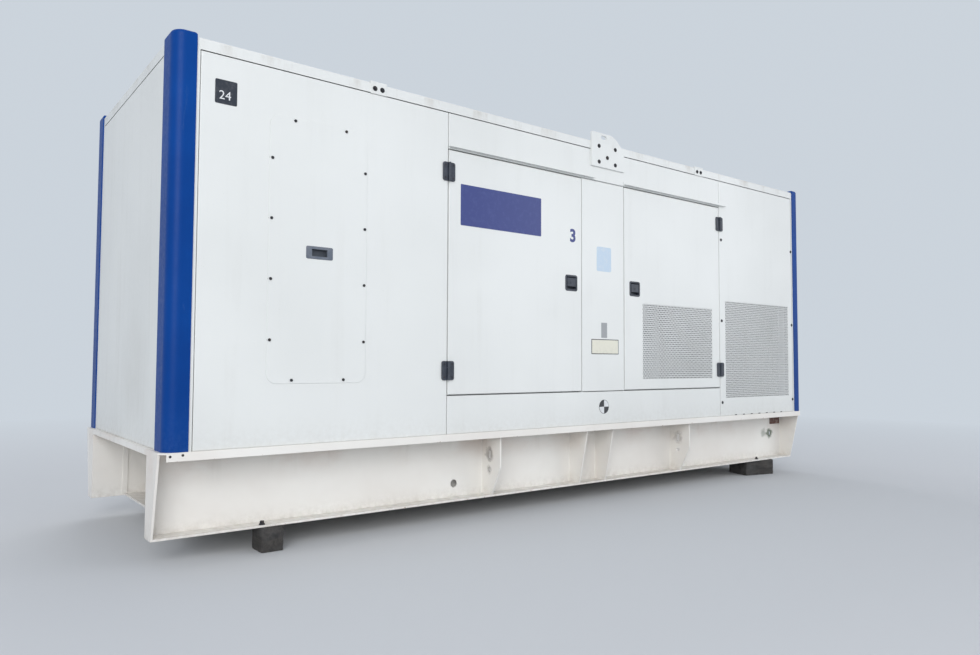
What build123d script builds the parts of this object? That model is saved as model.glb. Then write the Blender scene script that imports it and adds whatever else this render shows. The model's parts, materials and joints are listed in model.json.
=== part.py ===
# Enclosed generator set on a steel base frame with four packing blocks.
# X runs along the set, the two doors in view are on the -Y side, and Z = 0 is the floor.
# The -Y side is modelled, and the +Y side mirrors it.
from build123d import *
import os

os.makedirs("parts", exist_ok=True)

# Main sizes
canopy_length = 5080
canopy_width = 1652
canopy_height = 1841
skid_depth = 393
skid_overhang = 16
block_height = 120

# Base frame, with its faces placed inwards or outwards from the enclosure's side
web_inset = 208
web_thickness = 8
flange_inset = 115
flange_thickness = 10
deck_thickness = 8
ledge_reach = 4
ledge_lip = 38
lip_thickness = 6
lip_end_gaps = (28, 46)
end_lip = 27
end_plate_inset = 32
gusset_inset = 34
gusset_thickness = 10
gusset_kink_drop = 218
gusset_x = (-676, 1077)
stiffener_x = (45, 285)
web_hole_left_x = -885
web_hole_end_gap = 173
web_hole_drops = (309, 194)
web_hole_radius = 23
lashing_slot = (56, 26)
lashing_slot_drop = 150
lashing_hole_radius = 13
lashing_hole_drop = 238
lashing_hole_inset = 136
floor_end_gap = 176
tank_end_gap = 500
tank_side_gap = 40

# Packing blocks: middle from the end of the base frame and from the enclosure's side, length, width and turn
left_block = (546, 168, 110, 130, 0)
right_block = (414, 227, 295, 200, -13)
block_chamfer = 6

# Sheet work
sheet = 3
panel_depth = 46
edge_radius = 4
seam = 4
lining_thickness = 38
lining_gap = 1

# Corner posts and their covers
cover_side = 102
cover_end = 152
cover_proud = 6
cover_radius = 55
cap_rise = 18
cap_radius = 17
post_strip = 15

# Roof
roof_depth = 55
roof_edge_radius = 10
outlet_end_gap = 490
outlet_length = 700
outlet_width = 1180
outlet_frame = 30
outlet_bars = 11
outlet_bar_thickness = 5
outlet_bar_depth = 40
outlet_curb = 50

# Panel seams along X, the sill's height above the deck, and the doors' top below the roof's
left_seam = -1075
pillar_left = -42
pillar_right = 355
right_seam = 1414
door_low = 216
door_top_drop = 266
door_gap = 7
stop_width = 20
stop_gap = 6

# Removable access panel, placed from the left end, and its pull
access_end_gap = 443
access_width = 516
access_low = 289
access_top_drop = 276
access_corner = 50
access_lap = 48
pull_rise = 923
pull_width, pull_height = 140, 62
pull_pocket_width, pull_pocket_height = 81, 35
pull_depth = 24
pull_flange = 3
pull_wall = 4
pull_corner = 8

# Air inlet grilles: left and right margins, and low and high sides above the deck
door_grille_left_margin = 185
door_grille_right_margin = 96
door_grille_low = 283
door_grille_high = 802
side_grille_left_margin = 70
side_grille_right_margin = 62
side_grille_low = 133
side_grille_high = 869
grille_sheet = 2.5
grille_lap = 14

# Drip rails above the doors: how far they reach past the doorways, and their section
drip_left_laps = (1, 102)
drip_right_laps = (4, 66)
drip_lift = 14
drip_height = 22
drip_reach = 25
drip_thickness = 3

# Surface hinges
hinge_inset_low = 132
hinge_inset_high = 125
hinge_width = 80
hinge_height = 105
hinge_leaf = 9
hinge_corner = 12
hinge_axis_proud = 12
knuckle_radius = 8
knuckle_gap = 1
knuckle_relief = 2
pin_radius = 4
pin_clearance = 0.3
leaf_gap = 2

# Paddle latches
latch_left_inset = 93
latch_right_inset = 104
latch_rise = 895
latch_width = 104
latch_height = 101
latch_corner = 14
latch_flange = 3
latch_rim = 8
latch_depth = 27
latch_wall = 3
paddle_gap = 5
paddle_height = 50
paddle_thickness = 5
barrel_radius = 6
latch_pin_radius = 3
lock_radius = 10
lock_proud = 2

# Lifting lugs and roof brackets
lug_left, lug_right = 39, 344
lug_drop = 168
lug_rise = 57
lug_thickness = 12
lug_corner = 8
lug_shoulder_run, lug_shoulder_drop = 129, 114
lug_shoulder_bend = (0.6, 0.35)
lug_eye = (54, 26)
lug_eye_x = 151
lug_eye_drop = 27
bracket_end_gaps = (1017, 1370)
bracket_width = 94
bracket_flange = 55
bracket_thickness = 5

# Engine, alternator and cooling, which show when the doors stand open
bearer_y = 390
bearer_width = 80
bearer_height = 120
bearer_wall = 8
bearer_right = 1390
crank_rise = 470
engine_left, engine_right = -1130, 230
engine_half_width = 250
engine_rise = 250
engine_drop = 125
engine_corner = 30
sump_depth = 190
sump_inset = 60
flywheel_radius = 340
flywheel_length = 120
head_height = 150
head_setback = 280
head_half_width = 170
cover_height = 90
cover_draft = 8
cover_gap = 30
rocker_covers = 3
manifold_length, manifold_width, manifold_height = 600, 55, 80
side_cover_thickness = 10
filter_radius = 48
filter_length = 170
filter_x = (-560, -430)
filter_z = 960
filter_head_height = 50
starter_radius = 60
starter_length = 240
starter_y = 325
starter_rise = 100
solenoid_radius = 30
coolant_y = 125
coolant_radius = 32
coolant_bend = 90
coolant_setback = 150
foot_length = 90
foot_thickness = 20
alternator_radius = 330
alternator_length = 900
alternator_ribs = 12
rib_height = 18
rib_thickness = 14
alternator_foot_y = 198
alternator_foot_drop = 165
terminal_length = 520
terminal_width = 460
terminal_height = 240
radiator_x = -1560
radiator_depth = 150
radiator_half_width = 590
radiator_height = 1300
radiator_tank = 120
tank_lap = 30
shroud_length = 130
fan_radius = 450
fan_depth = 60
fan_tip_gap = 20
fan_blades = 8
blade_width = 110
blade_thickness = 6
blade_pitch = 28
hub_radius = 90
silencer_radius = 210
silencer_half_length = 520
silencer_drop = 311
silencer_end_gap = 390
stand_length = 100
stand_width = 50
exhaust_radius = 70
exhaust_bend = 140
exhaust_setback = 140
cleaner_radius = 150
cleaner_length = 480
cleaner_y = 330
cleaner_bracket_inset = 90

# Levels and faces worked out from the sizes above
skid_length = canopy_length + 2 * skid_overhang
skid_low = block_height
deck_top = skid_low + skid_depth
deck_low = deck_top - deck_thickness
flange_high = skid_low + flange_thickness
canopy_top = deck_top + canopy_height
roof_low = canopy_top - roof_depth
face_x = canopy_length / 2 - cover_proud
face_y = canopy_width / 2 - cover_proud
web_y = canopy_width / 2 - web_inset
flange_y = canopy_width / 2 - flange_inset
end_plate_y = canopy_width / 2 - end_plate_inset
lip_ends = (-skid_length / 2 + lip_end_gaps[0], skid_length / 2 - lip_end_gaps[1])
ledge_y = canopy_width / 2 + ledge_reach
gusset_y = canopy_width / 2 - gusset_inset
lashing_hole_y = canopy_width / 2 - lashing_hole_inset
inner_web_y = web_y - web_thickness
post_side = cover_side + post_strip
post_end = cover_end + post_strip
panel_end_x = canopy_length / 2 - post_side - seam
end_panel_y = canopy_width / 2 - post_end - seam
panel_high = roof_low - seam
door_bottom = deck_top + door_low
door_top = canopy_top - door_top_drop
frame_left = left_seam - door_gap / 2
frame_right = right_seam + door_gap / 2
sill_high = door_bottom - door_gap
header_low = door_top + door_gap
stop_depth = panel_depth + stop_gap + sheet
hinge_axis_y = -(face_y + hinge_axis_proud)
hinge_levels = (door_bottom + hinge_inset_low, door_top - hinge_inset_high)
latch_z = deck_top + latch_rise
latch_left_x = pillar_left - latch_left_inset
latch_right_x = pillar_right + latch_right_inset
access_left = -canopy_length / 2 + access_end_gap
access_x = access_left + access_width / 2
access_high = canopy_top - access_top_drop
pull_z = deck_top + pull_rise
web_hole_x = (web_hole_left_x, skid_length / 2 - web_hole_end_gap)
block_x = (-skid_length / 2 + left_block[0], skid_length / 2 - right_block[0])
block_y = (canopy_width / 2 - left_block[1], canopy_width / 2 - right_block[1])
bracket_x = (-canopy_length / 2 + bracket_end_gaps[0], canopy_length / 2 - bracket_end_gaps[1])
outlet_x = -canopy_length / 2 + outlet_end_gap
silencer_x = -canopy_length / 2 + silencer_end_gap
silencer_z = canopy_top - silencer_drop
crank_z = deck_top + crank_rise
bearer_top = deck_top + bearer_height
bearer_outer = -bearer_y - bearer_width / 2
bearer_inner = -bearer_y + bearer_width / 2
exhaust_x = engine_left + exhaust_setback
left_door_sides = (left_seam + door_gap / 2, pillar_left - door_gap / 2, door_bottom, door_top)
right_door_sides = (pillar_right + door_gap / 2, right_seam - door_gap / 2, door_bottom, door_top)
left_panel_sides = (-panel_end_x, frame_left, deck_top, panel_high)
right_panel_sides = (frame_right, panel_end_x, deck_top, panel_high)
access_sides = (access_left, access_left + access_width, deck_top + access_low, access_high)
door_grille_sides = (
    pillar_right + door_grille_left_margin,
    right_seam - door_grille_right_margin,
    deck_top + door_grille_low,
    deck_top + door_grille_high,
)
side_grille_sides = (
    right_seam + side_grille_left_margin,
    panel_end_x - side_grille_right_margin,
    deck_top + side_grille_low,
    deck_top + side_grille_high,
)

# Working planes: the outer face of the -Y side, the skin's inside, and the face of the door stops
side_plane = Plane.XZ.offset(face_y)
skin_plane = side_plane.offset(-sheet)
stop_plane = side_plane.offset(-(stop_depth - sheet))
low_corner = (Align.MIN, Align.MIN)
diagonal = Axis((0, 0, 0), (1, 1, 0))


def sides(left, right, low, high):
    # Rectangle given by its four sides in the sketch being drawn.
    with Locations(((left + right) / 2, (low + high) / 2)):
        Rectangle(right - left, high - low)


def rounded_sides(box, radius):
    # The same with rounded corners.
    left, right, low, high = box
    with Locations(((left + right) / 2, (low + high) / 2)):
        RectangleRounded(right - left, high - low, radius)


def widened(box, margin):
    # The sides moved outwards by a margin, or inwards by a negative one.
    left, right, low, high = box
    return left - margin, right + margin, low - margin, high + margin


def side_pan(left, right, low, high):
    # Folded sheet panel of the -Y side: a skin with returns turned inwards all round.
    with BuildPart() as pan:
        with BuildSketch(side_plane):
            sides(left, right, low, high)
        extrude(amount=-panel_depth)
        fillet(pan.faces().sort_by(Axis.Y)[0].edges(), edge_radius)
        offset(amount=-sheet, openings=pan.faces().sort_by(Axis.Y)[-1])
    return pan.part


def side_lining(box):
    # Acoustic pad that fills a side pan behind its skin.
    with BuildPart() as pad:
        with BuildSketch(skin_plane):
            sides(*widened(box, -sheet - lining_gap))
        extrude(amount=-lining_thickness)
    return pad.part


# Base frame rails: a web with a bottom flange, a ledge with a lip above, and tapered plates between
with BuildPart() as skid_webs:
    with BuildSketch(Plane.YZ.offset(-skid_length / 2)):
        sides(-web_y, -inner_web_y, skid_low, deck_low)
    extrude(amount=skid_length)
    with BuildSketch(Plane.XZ.offset(inner_web_y)):
        with Locations(*[(x, deck_top - drop) for x, drop in zip(web_hole_x, web_hole_drops)]):
            Circle(web_hole_radius)
    extrude(amount=web_thickness, mode=Mode.SUBTRACT)
    mirror(about=Plane.XZ)

with BuildPart() as skid_flanges:
    with BuildSketch(Plane.YZ.offset(-skid_length / 2)):
        sides(-flange_y, -web_y, skid_low, flange_high)
    extrude(amount=skid_length)
    mirror(about=Plane.XZ)

with BuildPart() as skid_ledges:
    with BuildSketch(Plane.XY.offset(deck_low)):
        Polygon(
            (-skid_length / 2, -inner_web_y),
            (-skid_length / 2, -end_plate_y),
            (lip_ends[0], -ledge_y),
            (lip_ends[1], -ledge_y),
            (skid_length / 2, -end_plate_y),
            (skid_length / 2, -inner_web_y),
            align=None,
        )
    extrude(amount=deck_thickness)
    with BuildSketch(Plane.YZ.offset(lip_ends[0])):
        sides(-ledge_y, -ledge_y + lip_thickness, deck_top - ledge_lip, deck_top)
    extrude(amount=lip_ends[1] - lip_ends[0])
    mirror(about=Plane.XZ)

straight_taper = [
    (-web_y, flange_high),
    (-web_y, deck_low),
    (-gusset_y, deck_low),
    (-flange_y, flange_high),
]
kinked_taper = straight_taper[:3] + [(-gusset_y, deck_top - gusset_kink_drop)] + straight_taper[3:]
end_taper = straight_taper[:2] + [(-end_plate_y, deck_low)] + straight_taper[3:]


def tapered_plate(x, corners):
    # Plate across the rail, from the web out to the flange's edge below and further out above.
    with BuildPart() as plate:
        with BuildSketch(Plane.YZ.offset(x - gusset_thickness / 2)):
            with BuildLine():
                Polyline(*corners, close=True)
            make_face()
        extrude(amount=gusset_thickness)
    return plate.part


with BuildPart() as skid_gussets:
    for end in (-1, 1):
        add(tapered_plate(end * (skid_length - gusset_thickness) / 2, end_taper))
    for x in stiffener_x:
        add(tapered_plate(x, straight_taper))
    for x in gusset_x:
        add(tapered_plate(x, kinked_taper))
        with BuildSketch(Plane.YZ.offset(x)):
            with Locations((-lashing_hole_y, deck_top - lashing_slot_drop)):
                SlotOverall(*lashing_slot, rotation=90)
            with Locations((-lashing_hole_y, deck_top - lashing_hole_drop)):
                Circle(lashing_hole_radius)
        extrude(amount=gusset_thickness, both=True, mode=Mode.SUBTRACT)
    mirror(about=Plane.XZ)

with BuildPart() as skid_end_beams:
    with BuildSketch(Plane.XZ.offset(-inner_web_y)):
        sides(-skid_length / 2, -canopy_length / 2, deck_low, deck_top)
        sides(-skid_length / 2, -skid_length / 2 + lip_thickness, deck_top - end_lip, deck_top)
    extrude(amount=2 * inner_web_y)
    mirror(about=Plane.YZ)

with BuildPart() as skid_deck:
    with BuildSketch(Plane.XY.offset(deck_low)):
        Rectangle(canopy_length, 2 * inner_web_y)
    extrude(amount=deck_thickness)

with BuildPart() as skid_floor:
    with BuildSketch(Plane.XY.offset(skid_low)):
        Rectangle(skid_length - 2 * floor_end_gap, 2 * inner_web_y)
    extrude(amount=flange_thickness)

with BuildPart() as fuel_tank:
    with BuildSketch(Plane.XY.offset(flange_high)):
        Rectangle(skid_length - 2 * tank_end_gap, 2 * (inner_web_y - tank_side_gap))
    extrude(amount=deck_low - flange_high)

with BuildPart() as packing_blocks:
    for x, y, block in zip(block_x, block_y, (left_block, right_block)):
        length, width, turn = block[2:]
        with BuildSketch(Plane.XY):
            with Locations((x, -y)):
                Rectangle(length, width, rotation=turn)
        extrude(amount=block_height)
    chamfer(packing_blocks.edges().filter_by(Axis.Z), block_chamfer)
    mirror(about=Plane.XZ)

# Corner posts, and the covers that wrap round them and cap the roof's corners
with BuildPart() as corner_posts:
    with BuildSketch(Plane.XY.offset(deck_top)) as post_section:
        with Locations((-face_x, -face_y)):
            Rectangle(post_side - cover_proud, panel_depth, align=low_corner)
            Rectangle(panel_depth, post_end - cover_proud, align=low_corner)
        fillet(post_section.vertices().sort_by(diagonal)[0], cover_radius)
    extrude(amount=roof_low - deck_top)
    mirror(about=Plane.YZ)
    mirror(about=Plane.XZ)

with BuildPart() as corner_covers:
    with BuildSketch(Plane.XY.offset(deck_top)) as cover_section:
        with Locations((-canopy_length / 2, -canopy_width / 2)):
            Rectangle(cover_side, cover_end, align=low_corner)
        fillet(cover_section.vertices().sort_by(diagonal)[0], cover_radius)
    extrude(amount=canopy_height + cap_rise)
    fillet(corner_covers.faces().sort_by(Axis.Z)[-1].edges(), cap_radius)
    with BuildSketch(Plane.XY.offset(deck_top)) as cover_hollow:
        with Locations((-face_x, -face_y)):
            Rectangle(cover_side, cover_end, align=low_corner)
        fillet(cover_hollow.vertices().sort_by(diagonal)[0], cover_radius - cover_proud)
    extrude(amount=canopy_height, mode=Mode.SUBTRACT)
    mirror(about=Plane.YZ)
    mirror(about=Plane.XZ)

# End panels between the posts
with BuildPart() as end_panels:
    with BuildSketch(Plane.YZ.offset(-face_x)):
        sides(-end_panel_y, end_panel_y, deck_top, panel_high)
    extrude(amount=panel_depth)
    fillet(end_panels.faces().sort_by(Axis.X)[0].edges(), edge_radius)
    offset(amount=-sheet, openings=end_panels.faces().sort_by(Axis.X)[-1])
    mirror(about=Plane.YZ)


# Fixed panels of the long side, with the stops that the doors close on
def door_stop(left, right, low, high):
    # Return and stop beside a doorway; the stop stands behind the door's edge.
    with BuildPart() as stop:
        with BuildSketch(stop_plane):
            sides(left, right, low, high)
        extrude(amount=-sheet)
    return stop.part


def stop_return(left, right, low, high):
    # Folded edge that reaches from a pan back to its stop.
    with BuildPart() as edge:
        with BuildSketch(side_plane.offset(-edge_radius)):
            sides(left, right, low, high)
        extrude(amount=-(stop_depth - edge_radius))
    return edge.part


with BuildPart() as left_panels:
    add(side_pan(*left_panel_sides))
    add(stop_return(frame_left - sheet, frame_left, sill_high, header_low))
    add(door_stop(frame_left - sheet, frame_left + stop_width, sill_high, header_low))
    with BuildSketch(side_plane):
        rounded_sides(widened(access_sides, -access_lap), access_corner)
    extrude(amount=-sheet, mode=Mode.SUBTRACT)
    mirror(about=Plane.XZ)

with BuildPart() as right_panels:
    add(side_pan(*right_panel_sides))
    add(stop_return(frame_right, frame_right + sheet, sill_high, header_low))
    add(door_stop(frame_right - stop_width, frame_right + sheet, sill_high, header_low))
    with BuildSketch(side_plane):
        sides(*side_grille_sides)
    extrude(amount=-sheet, mode=Mode.SUBTRACT)
    mirror(about=Plane.XZ)

doorways = ((frame_left, pillar_left + door_gap / 2), (pillar_right - door_gap / 2, frame_right))
sill_sides = (frame_left + seam, frame_right - seam, deck_top, sill_high)
header_sides = (frame_left + seam, frame_right - seam, header_low, panel_high)
pillar_sides = (doorways[0][1], doorways[1][0], sill_high + seam, header_low - seam)

with BuildPart() as sills:
    add(side_pan(*sill_sides))
    add(stop_return(*sill_sides[:2], sill_high - sheet, sill_high))
    for left, right in doorways:
        stop_ends = (left + stop_width + seam, right - stop_width - seam)
        add(door_stop(*stop_ends, sill_high - sheet, sill_high + stop_width))
    mirror(about=Plane.XZ)

with BuildPart() as headers:
    add(side_pan(*header_sides))
    add(stop_return(*header_sides[:2], header_low, header_low + sheet))
    for left, right in doorways:
        stop_ends = (left + stop_width + seam, right - stop_width - seam)
        add(door_stop(*stop_ends, header_low - stop_width, header_low + sheet))
    mirror(about=Plane.XZ)

with BuildPart() as pillars:
    add(side_pan(*pillar_sides))
    for edge, inward in ((pillar_sides[0], 1), (pillar_sides[1], -1)):
        left, right = sorted((edge, edge + inward * sheet))
        add(stop_return(left, right, sill_high, header_low))
        left, right = sorted((edge - inward * stop_width, edge + inward * sheet))
        add(door_stop(left, right, sill_high, header_low))
    mirror(about=Plane.XZ)

# Removable access panel: a rounded plate over the opening, with a pull let into it
with BuildPart() as access_panels:
    with BuildSketch(side_plane):
        rounded_sides(access_sides, access_corner)
    extrude(amount=sheet)
    chamfer(access_panels.faces().sort_by(Axis.Y)[0].edges(), sheet / 3)
    with BuildSketch(side_plane):
        with Locations((access_x, pull_z)):
            Rectangle(pull_pocket_width + 2 * pull_wall, pull_pocket_height + 2 * pull_wall)
    extrude(amount=sheet, mode=Mode.SUBTRACT)
    mirror(about=Plane.XZ)

with BuildPart() as access_pulls:
    with BuildSketch(side_plane.offset(sheet)):
        with Locations((access_x, pull_z)):
            RectangleRounded(pull_width, pull_height, pull_corner)
    extrude(amount=pull_flange)
    chamfer(access_pulls.faces().sort_by(Axis.Y)[0].edges(), pull_flange / 2)
    with BuildSketch(side_plane.offset(sheet)):
        with Locations((access_x, pull_z)):
            Rectangle(pull_pocket_width + 2 * pull_wall, pull_pocket_height + 2 * pull_wall)
    extrude(amount=-pull_depth)
    with BuildSketch(side_plane.offset(sheet + pull_flange)):
        with Locations((access_x, pull_z)):
            Rectangle(pull_pocket_width, pull_pocket_height)
    extrude(amount=-(pull_depth + pull_flange - pull_wall), mode=Mode.SUBTRACT)
    mirror(about=Plane.XZ)

# Air inlet grille of the right panel
with BuildPart() as side_grilles:
    with BuildSketch(skin_plane):
        sides(*widened(side_grille_sides, grille_lap))
    extrude(amount=-grille_sheet)
    mirror(about=Plane.XZ)

# Drip rails, a flat against the header with a sloping nose
drip_low = door_top + drip_lift
drip_ends = (
    (left_seam - drip_left_laps[0], pillar_left + drip_left_laps[1]),
    (pillar_right - drip_right_laps[0], right_seam + drip_right_laps[1]),
)

with BuildPart() as drip_rails:
    for left, right in drip_ends:
        with BuildSketch(Plane.YZ.offset(left)):
            with BuildLine():
                Polyline(
                    (-face_y, drip_low + drip_height),
                    (-face_y - drip_thickness, drip_low + drip_height),
                    (-face_y - drip_thickness, drip_low + 2 * drip_thickness),
                    (-face_y - drip_reach, drip_low + drip_thickness),
                    (-face_y - drip_reach, drip_low),
                    (-face_y, drip_low + drip_thickness),
                    close=True,
                )
            make_face()
        extrude(amount=right - left)
    mirror(about=Plane.XZ)

# Doors: folded pans with a pocket for the latch, and the right one with a grille
latch_centres = ((latch_left_x, latch_z), (latch_right_x, latch_z))
bowl_width = latch_width - 2 * latch_rim
bowl_height = latch_height - 2 * latch_rim


def latch_opening(centre):
    with BuildPart() as opening:
        with BuildSketch(side_plane):
            with Locations(centre):
                Rectangle(bowl_width + 2 * lining_gap, bowl_height + 2 * lining_gap)
        extrude(amount=-panel_depth)
    return opening.part


with BuildPart() as door_left:
    add(side_pan(*left_door_sides))
    add(latch_opening(latch_centres[0]), mode=Mode.SUBTRACT)

with BuildPart() as door_right:
    add(side_pan(*right_door_sides))
    add(latch_opening(latch_centres[1]), mode=Mode.SUBTRACT)
    with BuildSketch(side_plane):
        sides(*door_grille_sides)
    extrude(amount=-sheet, mode=Mode.SUBTRACT)

with BuildPart() as door_right_grille:
    with BuildSketch(skin_plane):
        sides(*widened(door_grille_sides, grille_lap))
    extrude(amount=-grille_sheet)

with BuildPart() as door_left_lining:
    add(side_lining(left_door_sides))
    add(latch_opening(latch_centres[0]), mode=Mode.SUBTRACT)

with BuildPart() as door_right_lining:
    add(side_lining(right_door_sides))
    add(latch_opening(latch_centres[1]), mode=Mode.SUBTRACT)
    with BuildSketch(side_plane):
        sides(*widened(door_grille_sides, grille_lap + lining_gap))
    extrude(amount=-panel_depth, mode=Mode.SUBTRACT)

with BuildPart() as far_doors:
    mirror((door_left.part, door_right.part), about=Plane.XZ)

with BuildPart() as far_door_grille:
    mirror(door_right_grille.part, about=Plane.XZ)

# Wall linings: pads behind every fixed skin, open behind the grille and the access panel
with BuildPart() as near_lining:
    for box in (left_panel_sides, right_panel_sides, sill_sides, header_sides, pillar_sides):
        add(side_lining(box))
    with BuildSketch(side_plane):
        sides(*widened(side_grille_sides, grille_lap + lining_gap))
        rounded_sides(widened(access_sides, -access_lap), access_corner)
    extrude(amount=-panel_depth, mode=Mode.SUBTRACT)

with BuildPart() as end_lining:
    with BuildSketch(Plane.YZ.offset(-face_x + sheet)):
        sides(*widened((-end_panel_y, end_panel_y, deck_top, panel_high), -sheet - lining_gap))
    extrude(amount=lining_thickness)

with BuildPart() as wall_lining:
    add(near_lining.part)
    mirror((near_lining.part, door_left_lining.part, door_right_lining.part), about=Plane.XZ)
    add(end_lining.part)
    mirror(end_lining.part, about=Plane.YZ)


# Hinges: rounded leaves with interleaved knuckles on a standing pin, the door's leaf towards +X
def hinge_knuckle(axis_x, low, high, radius=knuckle_radius):
    # Upright barrel on the hinge's axis.
    with BuildPart() as knuckle:
        with BuildSketch(Plane.XY.offset(low)):
            with Locations((axis_x, hinge_axis_y)):
                Circle(radius)
        extrude(amount=high - low)
    return knuckle.part


def hinge_leaf_plate(axis_x, outward, low):
    # One rounded leaf on the face of the sheet, from the leaf gap out to half the hinge's width.
    with BuildPart() as plate:
        with BuildSketch(side_plane) as outline:
            near_edge, far_edge = axis_x + outward * leaf_gap, axis_x + outward * hinge_width / 2
            sides(*sorted((near_edge, far_edge)), low, low + hinge_height)
            outer = outline.vertices().sort_by(Axis.X, reverse=outward > 0)[:2]
            fillet(outer, hinge_corner)
        extrude(amount=hinge_leaf)
        rim = plate.faces().sort_by(Axis.Y)[0].edges()
        chamfer(rim, leaf_gap)
    return plate.part


def knuckle_levels(low):
    # The three knuckles of a hinge from the bottom up, with a gap between them.
    third = hinge_height / 3
    return [(low + i * third + knuckle_gap / 2, low + (i + 1) * third - knuckle_gap / 2) for i in range(3)]


def knuckle_notch(axis_x, low, high):
    # Room in one leaf for a knuckle of the other.
    return hinge_knuckle(axis_x, low - knuckle_gap, high + knuckle_gap, knuckle_radius + knuckle_relief)


def door_leaves(axis_x, outward):
    # The leaves on a door, with the lower and upper knuckles, bored for the pin.
    with BuildPart() as leaves:
        for middle_z in hinge_levels:
            low = middle_z - hinge_height / 2
            bottom, middle, top = knuckle_levels(low)
            add(hinge_leaf_plate(axis_x, outward, low))
            add(knuckle_notch(axis_x, *middle), mode=Mode.SUBTRACT)
            add(hinge_knuckle(axis_x, *bottom))
            add(hinge_knuckle(axis_x, *top))
            bore = hinge_knuckle(axis_x, low, low + hinge_height, pin_radius + pin_clearance)
            add(bore, mode=Mode.SUBTRACT)
    return leaves.part


def frame_leaves(axis_x, outward):
    # The leaves beside the doorway, with the middle knuckles and the pins.
    with BuildPart() as leaves:
        for middle_z in hinge_levels:
            low = middle_z - hinge_height / 2
            bottom, middle, top = knuckle_levels(low)
            add(hinge_leaf_plate(axis_x, outward, low))
            add(knuckle_notch(axis_x, *bottom), mode=Mode.SUBTRACT)
            add(knuckle_notch(axis_x, *top), mode=Mode.SUBTRACT)
            add(hinge_knuckle(axis_x, *middle))
            add(hinge_knuckle(axis_x, low + knuckle_gap, low + hinge_height - knuckle_gap, pin_radius))
    return leaves.part


door_left_hinge_leaves = door_leaves(left_seam, 1)
door_right_hinge_leaves = door_leaves(right_seam, -1)

with BuildPart() as hinge_frame_leaves:
    add(frame_leaves(left_seam, -1))
    add(frame_leaves(right_seam, 1))

with BuildPart() as far_hinges:
    mirror((hinge_frame_leaves.part, door_left_hinge_leaves, door_right_hinge_leaves), about=Plane.XZ)


# Paddle latches: a dished base let into the door, and a paddle on a cross pin
paddle_pivot_z = latch_z + bowl_height / 2 - latch_wall - paddle_gap - barrel_radius
paddle_pivot_y = -face_y - latch_flange + barrel_radius
paddle_width = bowl_width - 2 * latch_wall - 2 * paddle_gap


def latch_base(centre):
    with BuildPart() as base:
        with BuildSketch(side_plane):
            with Locations(centre):
                RectangleRounded(latch_width, latch_height, latch_corner)
        extrude(amount=latch_flange)
        chamfer(base.faces().sort_by(Axis.Y)[0].edges(), latch_flange / 2)
        with BuildSketch(side_plane):
            with Locations(centre):
                Rectangle(bowl_width, bowl_height)
        extrude(amount=-latch_depth)
        with BuildSketch(side_plane.offset(latch_flange)):
            with Locations(centre):
                Rectangle(bowl_width - 2 * latch_wall, bowl_height - 2 * latch_wall)
        extrude(amount=-(latch_depth + latch_flange - latch_wall), mode=Mode.SUBTRACT)
        with BuildSketch(Plane.YZ.offset(centre[0] - bowl_width / 2)):
            with Locations((paddle_pivot_y, paddle_pivot_z)):
                Circle(latch_pin_radius)
        extrude(amount=bowl_width)
    return base.part


def latch_paddle(centre):
    with BuildPart() as paddle:
        with BuildSketch(side_plane.offset(latch_flange)):
            with Locations((centre[0], paddle_pivot_z)):
                Rectangle(paddle_width, paddle_height, align=(Align.CENTER, Align.MAX))
        extrude(amount=-paddle_thickness)
        with BuildSketch(Plane.YZ.offset(centre[0] - paddle_width / 2)):
            with Locations((paddle_pivot_y, paddle_pivot_z)):
                Circle(barrel_radius)
        extrude(amount=paddle_width)
        with BuildSketch(side_plane.offset(latch_flange)):
            with Locations((centre[0], paddle_pivot_z - paddle_height / 2)):
                Circle(lock_radius)
        extrude(amount=lock_proud)
        with BuildSketch(Plane.YZ.offset(centre[0] - paddle_width / 2)):
            with Locations((paddle_pivot_y, paddle_pivot_z)):
                Circle(latch_pin_radius + pin_clearance)
        extrude(amount=paddle_width, mode=Mode.SUBTRACT)
    return paddle.part


door_left_latch = latch_base(latch_centres[0])
door_right_latch = latch_base(latch_centres[1])
door_left_paddle = latch_paddle(latch_centres[0])
door_right_paddle = latch_paddle(latch_centres[1])

with BuildPart() as far_latches:
    mirror((door_left_latch, door_left_paddle, door_right_latch, door_right_paddle), about=Plane.XZ)

# Roof lid: folded all round, with an air outlet over the cooling end
with BuildPart() as roof:
    with BuildSketch(Plane.XY.offset(roof_low)):
        RectangleRounded(2 * face_x, 2 * face_y, cover_radius)
    extrude(amount=roof_depth)
    fillet(roof.faces().sort_by(Axis.Z)[-1].edges(), roof_edge_radius)
    offset(amount=-sheet, openings=roof.faces().sort_by(Axis.Z)[0])
    with BuildSketch(Plane.XY.offset(canopy_top)):
        with Locations((outlet_x, 0)):
            Rectangle(outlet_length, outlet_width)
    extrude(amount=-sheet, mode=Mode.SUBTRACT)

with BuildPart() as roof_outlet:
    with BuildSketch(Plane.XY.offset(canopy_top)):
        with Locations((outlet_x, 0)):
            Rectangle(outlet_length + 2 * outlet_frame, outlet_width + 2 * outlet_frame)
            Rectangle(outlet_length - 2 * outlet_frame, outlet_width - 2 * outlet_frame, mode=Mode.SUBTRACT)
    extrude(amount=sheet)
    with BuildSketch(Plane.XY.offset(canopy_top - outlet_curb)):
        with Locations((outlet_x, 0)):
            Rectangle(outlet_length - 2 * seam, outlet_width - 2 * seam)
            Rectangle(outlet_length - 2 * outlet_frame, outlet_width - 2 * outlet_frame, mode=Mode.SUBTRACT)
    extrude(amount=outlet_curb)
    bar_pitch = (outlet_length - 2 * outlet_frame) / (outlet_bars + 1)
    with BuildSketch(Plane.XY.offset(canopy_top - outlet_bar_depth)):
        with Locations((outlet_x, 0)):
            with GridLocations(bar_pitch, 0, outlet_bars, 1):
                Rectangle(outlet_bar_thickness, outlet_width - 2 * outlet_frame)
    extrude(amount=outlet_bar_depth)

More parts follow.
